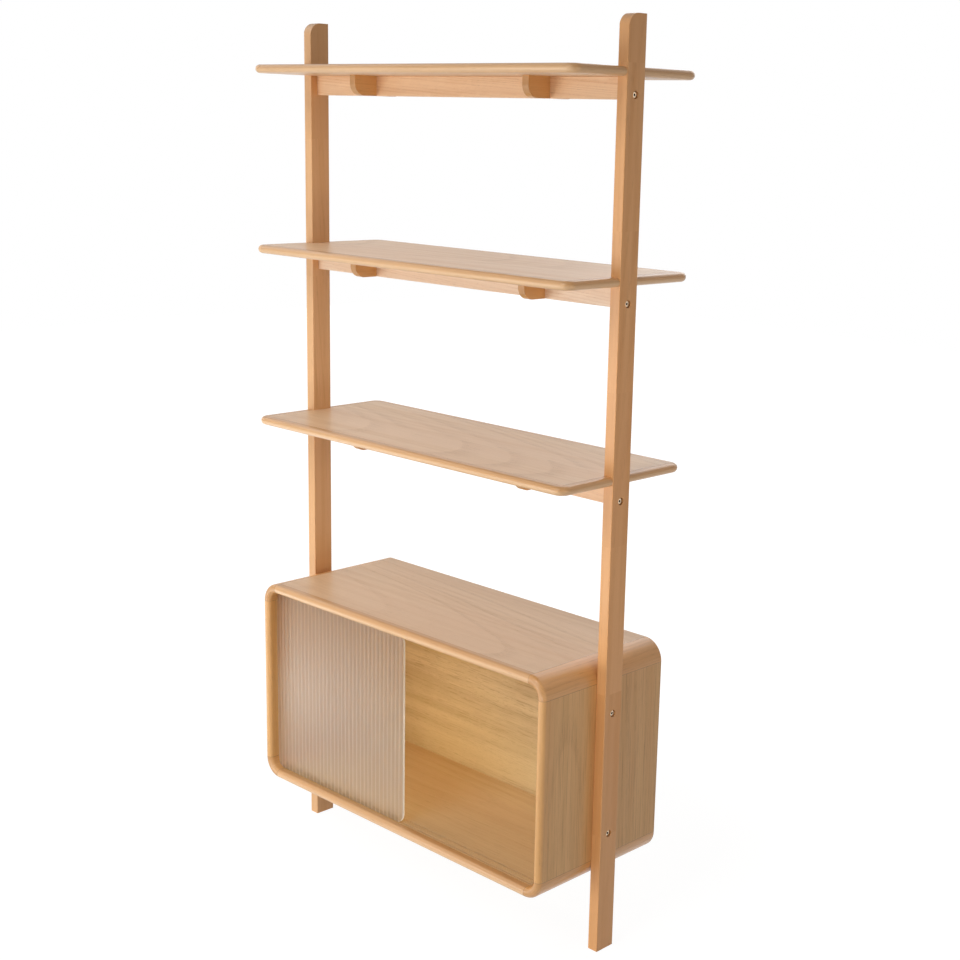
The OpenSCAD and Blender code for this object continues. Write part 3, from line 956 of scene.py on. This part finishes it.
@dataclass
class BullnosedEdge:
    """Solid lipping with a full-round nose.

    Attributes:
        thickness: Height of the section.
        width: Depth of the section, from the tip of the nose to the glued face.
        arris: Chamfer beside the glued face, which makes the fine line of the joint.
        steps: Number of facets round the nose.
    """

    thickness: float
    width: float
    arris: float = 0.0003
    steps: int = 28

    def section(self) -> Array:
        """Work out the section.

        The nose is half a circle as thick as the edge. Two straight lines carry it back
        to the glued face, where each ends in a small chamfer.

        Returns:
            The closed outline as pairs: depth behind the tip of the nose, and height.
        """
        radius = self.thickness / 2
        angle = np.linspace(0.5 * np.pi, 1.5 * np.pi, self.steps + 1)
        nose = np.stack([radius + radius * np.cos(angle), radius * np.sin(angle)], axis=1)
        rear = np.array([
            [self.width - self.arris, -radius], [self.width, self.arris - radius],
            [self.width, radius - self.arris], [self.width - self.arris, radius],
        ])
        return np.concatenate([nose, rear])

    def along(self, tips: Array, inwards: Array, up: Array) -> Surface:
        """Carry the section along a path.

        Each station puts the section's depth along its own inward direction and its
        height along its own upward one.

        Args:
            tips: Where the tip of the nose is at each station.
            inwards: Direction from the nose to the glued face at each station.
            up: Direction of the section's height, the same at all stations.

        Returns:
            The closed bar.
        """
        section = self.section()
        grid = (tips[:, None] + section[None, :, :1] * inwards[:, None]
                + section[None, :, 1:] * up)
        return Surface.from_grid(grid)


@dataclass
class Posts:
    """The two posts, each from its own board; the left one is paler, as painted light on its inner
    face.

    Attributes:
        woods: The finish of each post, by its side.
    """

    woods: dict[str, Oak]

    def build(self) -> None:
        """Dress the two posts."""
        for number, (side, wood) in enumerate(self.woods.items(), start=1):
            dress(f"post_{side}", wood.material(Grain.ALONG_Z, number))


@dataclass
class Shelf:
    """One shelf: a veneered panel with a mitred, bullnosed edge on all four sides.

    Attributes:
        name: Which shelf it is.
        top: Height of its top face.
        thickness: Its thickness.
        number: Number of its first board, which sets the pattern of its wood.
        width: Overall width.
        depth: Overall depth.
        back: How far its middle lies behind the middle of the posts.
        corner: Radius of its corners, seen from above.
        lip: Width of the solid edge.
        notch: Half the length that the post's notch takes out of an end edge.
    """

    name: str
    top: float
    thickness: float
    number: int
    width: float = 0.963
    depth: float = 0.362
    back: float = 0.010
    corner: float = 0.025
    lip: float = 0.020
    notch: float = 0.0253

    def build(self) -> None:
        """Dress the panel and make the four edges."""
        inset_x, inset_y = self.width / 2 - self.lip, self.depth / 2 - self.lip
        seams = [Seam(0, sign * inset_x, 0.0004) for sign in (-1, 1)]
        seams += [Seam(1, self.back + sign * inset_y, 0.0004) for sign in (-1, 1)]
        dress(f"shelf_{self.name}_panel", TOP_VENEER.material(Grain.ALONG_X, self.number, seams))
        edge = BullnosedEdge(self.thickness, self.lip)
        sides = {"front": self._long_edge(edge, False), "back": self._long_edge(edge, True),
                 "left": self._end_edge(edge, True), "right": self._end_edge(edge, False)}
        for step, (side, surface) in enumerate(sides.items(), start=1):
            grain = Grain.ALONG_Y if side in ("left", "right") else Grain.ALONG_X
            piece = surface.moved((0, self.back, self.top - self.thickness / 2)).to_object(
                f"edge_{self.name}_{side}", EDGE_OAK.material(grain, self.number + step))
            place_piece(piece, UNIT, [f"shelf_{self.name}_lip_{side}"])

    def _bend(self, centre_x: float, centre_y: float, start: float,
              end: float) -> tuple[Array, Array]:
        """Return the stations round a corner.

        The nose lies on a circle about the corner's centre, and looks away from it.

        Args:
            centre_x: X of the corner's centre.
            centre_y: Y of the corner's centre.
            start: Angle of the first station, in degrees from +X.
            end: Angle of the last station.

        Returns:
            The tips of the nose, and the inward directions.
        """
        angle = np.radians(np.linspace(start, end, 13))
        outward = np.stack([np.cos(angle), np.sin(angle), np.zeros_like(angle)], axis=1)
        return np.array([centre_x, centre_y, 0.0]) + self.corner * outward, -outward

    def _long_edge(self, edge: BullnosedEdge, rear: bool) -> Surface:
        """Make a long edge from mitre to mitre, straight between two rounded corners.

        Args:
            edge: Its section.
            rear: Whether it is the rear one.

        Returns:
            The closed bar.
        """
        run, inset = self.width / 2 - self.corner, self.corner - self.depth / 2
        left, right = self._bend(-run, inset, -135, -90), self._bend(run, inset, -90, -45)
        tips, inwards = (np.concatenate(pair) for pair in zip(left, right))
        bar = edge.along(tips, inwards, np.array([0.0, 0.0, 1.0]))
        return bar.quarter_turned(2) if rear else bar

    def _end_edge(self, edge: BullnosedEdge, left: bool) -> Surface:
        """Make the two bars of an end edge, in front of the post and behind it.

        Args:
            edge: Their section.
            left: Whether they are on the left.

        Returns:
            Both closed bars, each from the mitre round the corner to the notch.
        """
        run, out = self.depth / 2 - self.corner, self.width / 2
        bars = []
        for sign in (-1, 1):
            tips, inwards = self._bend(out - self.corner, sign * run, sign * 45, 0)
            stop = -self.back + sign * self.notch
            tips = np.concatenate([tips, [[out, stop, 0.0]]])
            inwards = np.concatenate([inwards, [[-1.0, 0.0, 0.0]]])
            bars.append(edge.along(tips, inwards, np.array([0.0, 0.0, 1.0])))
        return Surface.joined(bars).mirrored(left)


@dataclass
class Support:
    """The rail under one shelf, with the two bearers that cross it.

    Attributes:
        name: Which shelf it carries.
        number: Number of the rail's board, which the bearers' numbers follow.
        rail: The finish of the rail.
    """

    name: str
    number: int
    rail: Oak = RAIL_OAK

    def build(self) -> None:
        """Dress the rail and its bearers, each with its own board."""
        dress(f"rail_{self.name}", self.rail.material(Grain.ALONG_X, self.number))
        for step, side in enumerate(("left", "right"), start=1):
            number = self.number + step
            dress(f"bearer_{self.name}_{side}", SHADED_BEARER_OAK.material(Grain.ALONG_Y, number))


@dataclass
class Cabinet:
    """The low cabinet, with veneered walls between four solid corner mouldings.

    Attributes:
        low: Lowest corner of its box.
        high: Highest corner of its box.
        wall: Thickness of its walls.
        corner: Outer radius of its corners, which is where the walls stop.
        lip: Depth of the solid edges on its front.
    """

    low: Vector
    high: Vector
    wall: float = 0.021
    corner: float = 0.045
    lip: float = 0.020

    def build(self) -> None:
        """Dress the walls and the mouldings, and make the four front edges."""
        run_x = self.high.x - self.corner
        floor_z, top_z = self.low.z + self.corner, self.high.z - self.corner
        ends = [Seam(0, sign * run_x) for sign in (-1, 1)]
        levels = [Seam(2, floor_z), Seam(2, top_z)]
        dress("cabinet_top", TOP_VENEER.material(Grain.ALONG_X, 50, ends))
        dress("cabinet_floor", FLOOR_VENEER.material(Grain.ALONG_X, 51, ends))
        dress("cabinet_side_left", SIDE_VENEER.material(Grain.ALONG_Z, 52, levels))
        dress("cabinet_side_right", SIDE_VENEER.material(Grain.ALONG_Z, 53, levels))
        dress("cabinet_back", BACK_VENEER.material(Grain.ALONG_X, 54))
        corners = ("top_left", "top_right", "floor_left", "floor_right")
        for number, name in enumerate(corners, start=55):
            dress(f"corner_{name}", MOULDING_OAK.material(Grain.ALONG_Y, number, ends + levels))
        self._front_edges()

    def _front_edges(self) -> None:
        """Make the bullnosed edges between the mouldings."""
        edge = BullnosedEdge(self.wall, self.lip)
        run_x = self.high.x - self.corner
        run_z = (self.high.z - self.low.z) / 2 - self.corner
        middle_z = (self.high.z + self.low.z) / 2
        places = {
            "top": (0.0, self.high.z - self.wall / 2, run_x, Grain.ALONG_X),
            "floor": (0.0, self.low.z + self.wall / 2, run_x, Grain.ALONG_X),
            "left": (self.wall / 2 - self.high.x, middle_z, run_z, Grain.ALONG_Z),
            "right": (self.high.x - self.wall / 2, middle_z, run_z, Grain.ALONG_Z),
        }
        for number, (name, (x, z, run, grain)) in enumerate(places.items(), start=60):
            level = grain is Grain.ALONG_X
            ends = np.linspace(-run, run, 2)
            flat = np.zeros_like(ends)
            tips = np.stack([ends, flat, flat] if level else [flat, flat, ends], axis=1)
            inwards = np.tile([0.0, 1.0, 0.0], (2, 1))
            up = np.array([0.0, 0.0, 1.0] if level else [1.0, 0.0, 0.0])
            bar = edge.along(tips, inwards, up).moved((x, self.low.y, z))
            seams = [Seam(0 if level else 2, (0.0 if level else middle_z) + sign * run)
                     for sign in (-1, 1)]
            wood = EDGE_OAK if level else UPRIGHT_OAK
            piece = bar.to_object(f"edge_cabinet_{name}", wood.material(grain, number, seams))
            place_piece(piece, UNIT, [f"lip_cabinet_{name}"])


@dataclass
class FlutedDoor:
    """The sliding door: one sheet of glass, fluted on the front and flat behind.

    Attributes:
        low: Lowest corner of its box.
        high: Highest corner of its box.
        flutes: Number of flutes.
        rise: Height of a flute above the valleys.
        valley: Width of the flat in a valley.
        corner: Radius of the four corners, seen from the front.
        arris: Chamfer along the ground edges of the glass.
        steps: Facets across a flute.
    """

    low: Vector
    high: Vector
    flutes: int = 34
    rise: float = 0.001
    valley: float = 0.0005
    corner: float = 0.0265
    arris: float = 0.0005
    steps: int = 16

    def build(self) -> None:
        """Make the sheet and let it ride on the door."""
        flutes = Flutes(self.low.x, (self.high.x - self.low.x) / self.flutes,
                        self.low.z, self.high.z)
        piece = self.sheet().to_object("fluted_door", FLUTED_GLASS.material(flutes), crease=12.0)
        self._grind_edges(piece)
        place_piece(piece, DOOR, ["sliding_door"])

    @staticmethod
    def _grind_edges(piece: bpy.types.Object) -> None:
        """Give the faces that don't look forwards or backwards the ground finish.

        Args:
            piece: The sheet of glass.
        """
        faces = piece.data.polygons
        normals = np.zeros(len(faces) * 3, np.float32)
        faces.foreach_get("normal", normals)
        edge = np.abs(normals.reshape(-1, 3)[:, 1]) < 0.8
        piece.data.materials.append(GROUND_GLASS.material())
        faces.foreach_set("material_index", edge.astype(np.int32))

    def stations(self) -> Array:
        """Divide the width evenly for each flute, and more finely round the corners.

        Returns:
            The distances from the left edge, in order.
        """
        width = self.high.x - self.low.x
        even = np.linspace(0.0, width, self.flutes * self.steps + 1)
        turn = self.corner * (1 - np.cos(np.linspace(0.0, np.pi / 2, 24)))
        edge = np.array([0.0, self.arris])
        ends = np.concatenate([turn, edge])
        return np.unique(np.round(np.concatenate([even, ends, width - ends]), 6))

    def face_depth(self, across: Array) -> Array:
        """Work out the front of the sheet.

        Each flute is an arc of a circle whose rise over half its width is the height of
        the flute. Between two flutes the depth stays at that height.

        Args:
            across: Distances from the left edge.

        Returns:
            How far the front lies behind the tips of the flutes.
        """
        pitch = (self.high.x - self.low.x) / self.flutes
        half = (pitch - self.valley) / 2
        radius = (half**2 + self.rise**2) / (2 * self.rise)
        away = np.abs((across % pitch) - pitch / 2)
        return radius - np.sqrt(radius**2 - np.minimum(away, half) ** 2)

    def sheet(self) -> Surface:
        """Carry an upright ring, chamfered at its four corners, along the stations.

        At each station the ring is as tall as the rounded outline is there, and its
        front follows the flutes. Within a chamfer of the two ends it grows thinner.

        Returns:
            The closed sheet, in its place.
        """
        width, height = self.high.x - self.low.x, self.high.z - self.low.z
        across = self.stations()
        near = np.minimum(across, width - across)
        inset = np.maximum(self.corner - near, 0.0)
        cut = self.corner - np.sqrt(np.maximum(self.corner**2 - inset**2, 0.0))
        thin = np.maximum(self.arris - near, 0.0)
        front = np.maximum(self.face_depth(across), thin)
        rear = self.high.y - self.low.y - thin
        chamfer = np.full_like(across, self.arris)
        depth = np.stack([front + chamfer, front, front, front + chamfer,
                          rear - chamfer, rear, rear, rear - chamfer], axis=1)
        foot, head = cut, height - cut
        level = np.stack([foot, foot + chamfer, head - chamfer, head,
                          head, head - chamfer, foot + chamfer, foot], axis=1)
        side = np.broadcast_to(across[:, None], depth.shape)
        return Surface.from_grid(np.stack([side, depth, level], axis=-1)).moved(self.low)


@dataclass
class Fastening:
    """A turned fastening along its own axis, with a recess in its head.

    Attributes:
        outline: Pairs of distance along the axis and radius, from the rim of the
            head's face to the tip.
        recess: What is sunk into the head.
        width: Width of the recess: across the flats, or of an arm of the cross.
        depth: Depth of the recess.
        around: Number of points round the axis.
    """

    outline: tuple[tuple[float, float], ...]
    recess: Recess
    width: float
    depth: float
    around: int = 48

    def surface(self, start: Point, axis: Point) -> Surface:
        """Make one fastening.

        Its face is a set of rings that sink into the recess, and the rest is the
        outline turned about the axis.

        Args:
            start: The middle of the head's face.
            axis: Direction from the head to the tip.

        Returns:
            The closed surface.
        """
        angle = np.arange(self.around) * 2 * np.pi / self.around
        face_along, face_radius = self._face(angle)
        outline = np.array(self.outline)
        along = np.concatenate([face_along, np.tile(outline[:, :1], (1, self.around))])
        radius = np.concatenate([face_radius, np.tile(outline[:, 1:], (1, self.around))])
        forward = np.array(axis, float)
        side = np.cross(forward, [0.0, 0.0, 1.0] if abs(forward[2]) < 0.5 else [0.0, 1.0, 0.0])
        upward = np.cross(side, forward)
        grid = (np.array(start, float) + along[..., None] * forward
                + (radius * np.cos(angle))[..., None] * side
                + (radius * np.sin(angle))[..., None] * upward)
        return Surface.from_grid(grid)

    def _face(self, angle: Array) -> tuple[Array, Array]:
        """Work out the rings of the face, from the middle of the recess to the rim.

        A hexagon is half its width divided by the cosine of the angle from the nearest
        flat, and its rings go straight down. A slot or a cross sinks where a point lies
        less than half a width from the middle of an arm. Its walls slope over a quarter of
        that width, and the ends of its arms over a fifth of the rim's radius.

        Args:
            angle: The angles of the points round the axis.

        Returns:
            The distance of each point along the axis, and its radius.
        """
        rim = self.outline[0][1]
        if self.recess is Recess.HEXAGON:
            chamfer = 0.0002
            hexagon = self.width / 2 / np.cos((angle + np.pi / 6) % (np.pi / 3) - np.pi / 6)
            along = np.stack([np.full_like(angle, level) for level in (self.depth, chamfer, 0.0)])
            return along, np.stack([hexagon, hexagon, hexagon + chamfer])
        inmost, outmost, rings = 0.04, 0.985, 16
        radius = np.linspace(inmost, outmost, rings)[:, None] * rim * np.ones_like(angle)
        first, second = np.abs(radius * np.cos(angle)), np.abs(radius * np.sin(angle))
        arm = first if self.recess is Recess.SLOT else np.minimum(first, second)
        inside = np.clip((self.width / 2 - arm) / (0.25 * self.width), 0.0, 1.0)
        reach = 1.0 if self.recess is Recess.SLOT else 0.62
        fade = np.clip((reach * rim - radius) / (0.2 * rim), 0.0, 1.0)
        return self.depth * inside * fade, radius


def socket_bolt(head: float, length: float) -> Fastening:
    """Describe a socket head bolt with a rounded rim.

    Args:
        head: Height of its head, and the head's radius.
        length: Length of its shank.

    Returns:
        The bolt.
    """
    shank, chamfer, tip = 0.003, 0.0002, 0.0022
    return Fastening(
        outline=((0.0, head - 0.0009), (0.00012, head - 0.0005), (0.0005, head - 0.0001),
                 (0.0009, head), (head - chamfer, head), (head, head - chamfer),
                 (head, shank + chamfer), (head + 0.0003, shank),
                 (head + length - 0.001, shank), (head + length, tip)),
        recess=Recess.HEXAGON, width=0.005, depth=0.004)


@dataclass
class Fastenings:
    """The bolts, nuts, inserts, screws, dowels and tongues that hold the unit together.

    Attributes:
        layout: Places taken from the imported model.
        bolt_drop: Distance from the top of a shelf down to its bolts.
        bolt_head: Height of a bolt's head, and the head's radius.
        bolt_sink: How far a bolt's head lies below the face of the post.
        rail_reach: How far a rail bolt reaches past the inner face of the post.
        case_reach: How far a cabinet bolt reaches past it.
        case_in: Distance from the top and underside of the cabinet to its bolts.
        nut_set: Distance from the end of a rail to its barrel nut.
        rail_back: Y of the back of the rails, where the nuts show.
        screw_x: Distance from the middle of a shelf to each bearer.
        screw_y: Distance from the middle of a bearer to each of its screws.
        screw_grip: Wood between the head of a shelf screw and the shelf.
        corner: Outer radius of the cabinet's corners, which the back screws keep clear of.
    """

    layout: Layout
    bolt_drop: float = 0.051
    bolt_head: float = 0.006
    bolt_sink: float = 0.003
    rail_reach: float = 0.042
    case_reach: float = 0.013
    case_in: float = 0.1075
    nut_set: float = 0.030
    rail_back: float = 0.008
    screw_x: float = 0.260
    screw_y: float = 0.034
    screw_grip: float = 0.022
    corner: float = 0.045

    def build(self) -> None:
        """Make what shows of the fastenings and dress the rest.

        The steel of the bolts is painted dark from just below the face of the head, as painted
        shade in the sockets and round the heads.
        """
        below = 0.0009
        face_x = self.layout.post_out_x - self.bolt_sink
        # The steel below the face of each head is painted dark, as shade in its socket
        steel = replace(BRIGHT_STEEL, painted_shade_x=face_x - below).material()
        for side, mirror in (("left", True), ("right", False)):
            bolts = self.bolts().mirrored(mirror)
            piece = bolts.to_object(f"socket_bolts_{side}", steel)
            place_piece(piece, UNIT, [f"bolts_{side}"])
        zinc = ZINC.material()
        pieces = {"barrel_nuts": self.nuts(), "shelf_screws": self.shelf_screws(),
                  "back_screws": self.back_screws()}
        for node, surface in pieces.items():
            place_piece(surface.to_object(f"turned_{node}", zinc), UNIT, [node])
        dress("threaded_inserts", zinc)
        dress("rail_dowels", BEECH.material(Grain.ALONG_X, 80))
        dress("corner_tongues", BEECH.material(Grain.ALONG_Y, 81))

    def bolts(self) -> Surface:
        """Make the five bolts of the right post: three into rails and two into the cabinet.

        Returns:
            The closed bolts, in their places.
        """
        face_x = self.layout.post_out_x - self.bolt_sink
        wood = face_x - self.bolt_head - self.layout.post_in_x
        rail = socket_bolt(self.bolt_head, wood + self.rail_reach)
        case = socket_bolt(self.bolt_head, wood + self.case_reach)
        low, high = self.layout.case_low.z, self.layout.case_high.z
        inwards = (-1.0, 0.0, 0.0)
        made = [rail.surface((face_x, 0.0, top - self.bolt_drop), inwards)
                for top in self.layout.shelf_tops.values()]
        made += [case.surface((face_x, 0.0, z), inwards)
                 for z in (low + self.case_in, high - self.case_in)]
        return Surface.joined(made)

    def nuts(self) -> Surface:
        """Make the barrel nuts, whose slotted ends show at the back of the rails.

        Returns:
            The six closed nuts, in their places.
        """
        radius, length, chamfer = 0.005, 0.0129, 0.0003
        nut = Fastening(
            outline=((0.0, radius - chamfer), (chamfer, radius), (length - chamfer, radius),
                     (length, radius - chamfer)),
            recess=Recess.SLOT, width=0.0014, depth=0.0012)
        x = self.layout.post_in_x - self.nut_set
        return Surface.joined(
            nut.surface((sign * x, self.rail_back, top - self.bolt_drop), (0.0, -1.0, 0.0))
            for top in self.layout.shelf_tops.values() for sign in (-1, 1))

    def shelf_screws(self) -> Surface:
        """Make the screws that go up through the bearers into the shelves.

        Returns:
            The twelve closed screws, in their places.
        """
        head, seat, shank = 0.004, 0.003, 0.00225
        screw = Fastening(
            outline=((0.0003, head - 0.0006), (0.0009, head - 0.0001), (0.0014, head),
                     (seat, head), (seat, shank), (0.034, shank), (0.038, 0.0006)),
            recess=Recess.CROSS, width=0.0013, depth=0.0016)
        grip = self.layout.shelf_t + self.screw_grip + seat
        return Surface.joined(
            screw.surface((x * self.screw_x, y * self.screw_y, top - grip), (0.0, 0.0, 1.0))
            for top in self.layout.shelf_tops.values() for x in (-1, 1) for y in (-1, 1))

    def back_screws(self) -> Surface:
        """Make the countersunk screws round the back panel, four on each long side.

        The cone under the head is as deep as the head's radius is larger than the shank's.

        Returns:
            The twelve closed screws, in their places.
        """
        head, shank, chamfer = 0.0035, 0.00175, 0.0001
        screw = Fastening(
            outline=((0.0, head - chamfer), (chamfer, head), (head - shank, shank),
                     (0.022, shank), (0.028, 0.0003)),
            recess=Recess.CROSS, width=0.0012, depth=0.0012)
        low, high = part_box("back_screws")
        run_x = self.layout.case_high.x - self.corner
        middle = (self.layout.case_low.z + self.layout.case_high.z) / 2
        run_z = (self.layout.case_high.z - self.layout.case_low.z) / 2 - self.corner
        places = [(share * run_x, z) for share in (-0.75, -0.25, 0.25, 0.75)
                  for z in (low.z + head, high.z - head)]
        places += [(x, middle + share * run_z) for share in (-0.5, 0.5)
                   for x in (low.x + head, high.x - head)]
        return Surface.joined(
            screw.surface((x, high.y, z), (0.0, -1.0, 0.0)) for x, z in places)


def dress(node: str, material: bpy.types.Material) -> None:
    """Give a CAD node a finish in place of its plain one.

    Args:
        node: The name of the node.
        material: The finish.
    """
    piece = frame["nodes"][node]
    for slot in piece.material_slots:
        slot.material = material
    LOG.info("%s: dressed in %s", node, material.name)


# Studio


@dataclass
class Lamp:
    """A soft area lamp that looks at a point.

    Attributes:
        name: Its name.
        place: Where its middle is.
        target: The point that it looks at.
        size: Its width and height.
        power: Its power in watts.
        colour: The colour of its light.
        spread: How wide it shines, in degrees.
    """

    name: str
    place: Point
    target: Point
    size: tuple[float, float]
    power: float
    colour: Rgb = (1.0, 1.0, 1.0)
    spread: float = 180.0

    def build(self) -> None:
        """Add the lamp to the scene."""
        data = bpy.data.lights.new(self.name, "AREA")
        data.shape = "RECTANGLE"
        data.size, data.size_y = self.size
        data.energy = self.power
        data.color = self.colour
        data.spread = math.radians(self.spread)
        made = bpy.data.objects.new(self.name, data)
        made.location = self.place
        aim = Vector(self.target) - Vector(self.place)
        made.rotation_euler = aim.to_track_quat("-Z", "Y").to_euler()
        bpy.context.scene.collection.objects.link(made)


@dataclass
class Studio:
    """A white room: pale floor, soft lamps and the camera of the photograph.

    Attributes:
        camera_place: Where the camera stands.
        azimuth: Its turn round the object, in degrees.
        elevation: Its height above the horizon, in degrees.
        roll: Its turn about its own axis, in degrees.
        picture: Width and height of the photograph, in pixels.
        focal: Focal length, in the same pixels.
        centre: Where the camera's axis meets the photograph, in pixels from the top left.
        ambient: Strength of the light that comes from all round.
    """

    camera_place: Point = (2.4536, -2.2924, 1.6981)
    azimuth: float = 42.73
    elevation: float = 13.18
    roll: float = 1.644
    picture: int = 960
    focal: float = 1571.5
    centre: tuple[float, float] = (566.68, 491.31)
    ambient: float = 0.17

    def build(self) -> None:
        """Set up the camera, the lamps, the world and the floor."""
        bpy.context.scene.view_settings.view_transform = "Standard"
        self._camera()
        self._lamps()
        self._world()
        self._floor()
        LOG.info("studio: camera at %s", self.camera_place)

    def _camera(self) -> None:
        """Stand the camera where the photograph was taken from."""
        turn, tilt, roll = (math.radians(v) for v in (self.azimuth, self.elevation, self.roll))
        back = Vector((math.sin(turn) * math.cos(tilt), -math.cos(turn) * math.cos(tilt),
                       math.sin(tilt)))
        right = Vector((math.cos(turn), math.sin(turn), 0.0))
        upward = back.cross(right)
        axis_x = right * math.cos(roll) + upward * math.sin(roll)
        axis_y = upward * math.cos(roll) - right * math.sin(roll)
        data = bpy.data.cameras.new("camera")
        data.sensor_width = 36.0
        data.lens = self.focal / self.picture * data.sensor_width
        data.shift_x = (self.picture / 2 - self.centre[0]) / self.picture
        data.shift_y = (self.centre[1] - self.picture / 2) / self.picture
        data.clip_start, data.clip_end = 0.1, 60.0
        made = bpy.data.objects.new("camera", data)
        made.matrix_world = Matrix.Translation(self.camera_place) @ Matrix(
            (axis_x, axis_y, back)).transposed().to_4x4()
        bpy.context.scene.collection.objects.link(made)
        bpy.context.scene.camera = made

    def _lamps(self) -> None:
        """Light the fronts from low down and the tops from above and behind.

        The key lamp stands to the left, so that the sheet of glass shades what lies behind
        it. A low strip and a lamp on the floor give the light that a white floor throws
        back. Two weak warm lamps fill the right-hand sides, which stay darker than the
        fronts.
        """
        middle = (0.0, 0.0, 0.8)
        plain, warm = (1.0, 0.985, 0.965), (1.0, 0.82, 0.62)
        # Name, place, target, width and height, power, colour and spread
        lamps = (
            Lamp("key", (-1.5, -3.3, 0.7), (0.0, 0.0, 0.9), (2.2, 1.0), 45.0, plain),
            Lamp("low", (0.7, -2.3, 0.12), (0.1, 0.0, 0.7), (2.2, 0.2), 10.0, plain),
            Lamp("bounce", (-0.95, -0.8, 0.02), (-0.2, -0.2, 0.9), (1.2, 0.7), 4.5, plain),
            Lamp("front_top", (0.2, -2.6, 3.0), (0.0, 0.0, 0.6), (1.8, 1.8), 7.0, plain, 60.0),
            Lamp("rear_top", (-0.6, 2.7, 2.7), middle, (2.4, 1.6), 22.0, plain),
            Lamp("left_top", (-2.6, -0.6, 2.7), middle, (1.6, 2.4), 15.0, plain),
            Lamp("side_low", (5.0, 0.2, 0.6), middle, (1.6, 1.6), 0.6, warm, 90.0),
            Lamp("side_high", (5.0, -0.6, 1.2), (0.0, 0.0, 1.2), (1.0, 1.0), 2.2, warm, 40.0),
        )
        for lamp in lamps:
            lamp.build()

    def _world(self) -> None:
        """Make the surroundings white to the eye and in reflections, and soft as light."""
        web = NodeWeb(bpy.data.worlds.new("white_room"))
        white = web.node("Background", {"Color": (1.0, 1.0, 1.0, 1.0)})
        soft = web.node("Background", {"Color": (1.0, 0.985, 0.97, 1.0),
                                       "Strength": self.ambient})
        mixed = web.node("MixShader", {0: self._seen_share(web), 1: soft.outputs[0],
                                       2: white.outputs[0]})
        bpy.context.scene.world = web.finish(mixed.outputs[0])

    @staticmethod
    def _seen_share(web: NodeWeb) -> Socket:
        """Tell the rays that see a surface from those that only light another one.

        Args:
            web: The nodes that need to know.

        Returns:
            A socket that is 1 for rays from the eye, a mirror or a glass, and 0 otherwise.
        """
        path = web.node("LightPath").outputs
        share = path["Is Camera Ray"]
        for name in ("Is Glossy Ray", "Is Transmission Ray"):
            share = web.math("MAXIMUM", share, path[name])
        return share

    def _floor(self) -> None:
        """Lay a pale floor that looks white and still takes the object's soft shadow.

        To the eye it is mostly white of its own, and only the rest is lit and shaded.
        That share of white grows with the distance from the middle, so that shadow and
        floor fade into the white of the room. The white is a little strong, because the
        rest is pale and would turn it grey.
        """
        near_white, near, far, strength = 0.84, 0.6, 1.8, 1.12
        web = NodeWeb(bpy.data.materials.new("pale_floor"))
        pale = web.node("BsdfDiffuse", {"Color": (0.86, 0.86, 0.86, 1.0)})
        white = web.node("Emission", {"Color": (1.0, 1.0, 1.0, 1.0), "Strength": strength})
        place = web.node("TexCoord").outputs["Object"]
        away = web.node("VectorMath", {0: place}, operation="LENGTH").outputs["Value"]
        fade = web.plus(near_white, (web.ramp(away, near, far), 1.0 - near_white))
        share = web.math("MULTIPLY", self._seen_share(web), fade)
        mixed = web.node("MixShader", {0: share, 1: pale.outputs[0], 2: white.outputs[0]})
        ends, below = np.array([-9.0, 9.0]), -0.0005
        across, along = np.meshgrid(ends, ends)
        grid = np.stack([across, along, np.full_like(across, below)], axis=-1)
        floor = Surface.from_grid(grid, ring=False, capped=False).to_object(
            "floor", web.finish(mixed.outputs[0]))


def main() -> None:
    """Build and dress the whole unit, then set up the studio."""
    logging.basicConfig(level=logging.INFO, format="%(name)s: %(message)s")
    layout = Layout.from_frame()
    Posts({"left": LIT_LEFT_POST_OAK, "right": POST_OAK}).build()
    for step, (name, top) in enumerate(layout.shelf_tops.items()):
        Shelf(name, top, layout.shelf_t, number=10 + 5 * step).build()
        rail = PALE_RAIL_OAK if name == "middle" else RAIL_OAK
        Support(name, number=30 + 5 * step, rail=rail).build()
    Cabinet(layout.case_low, layout.case_high).build()
    FlutedDoor(*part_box("sliding_door")).build()
    Fastenings(layout).build()
    Studio().build()


if __name__ == "__main__":
    main()
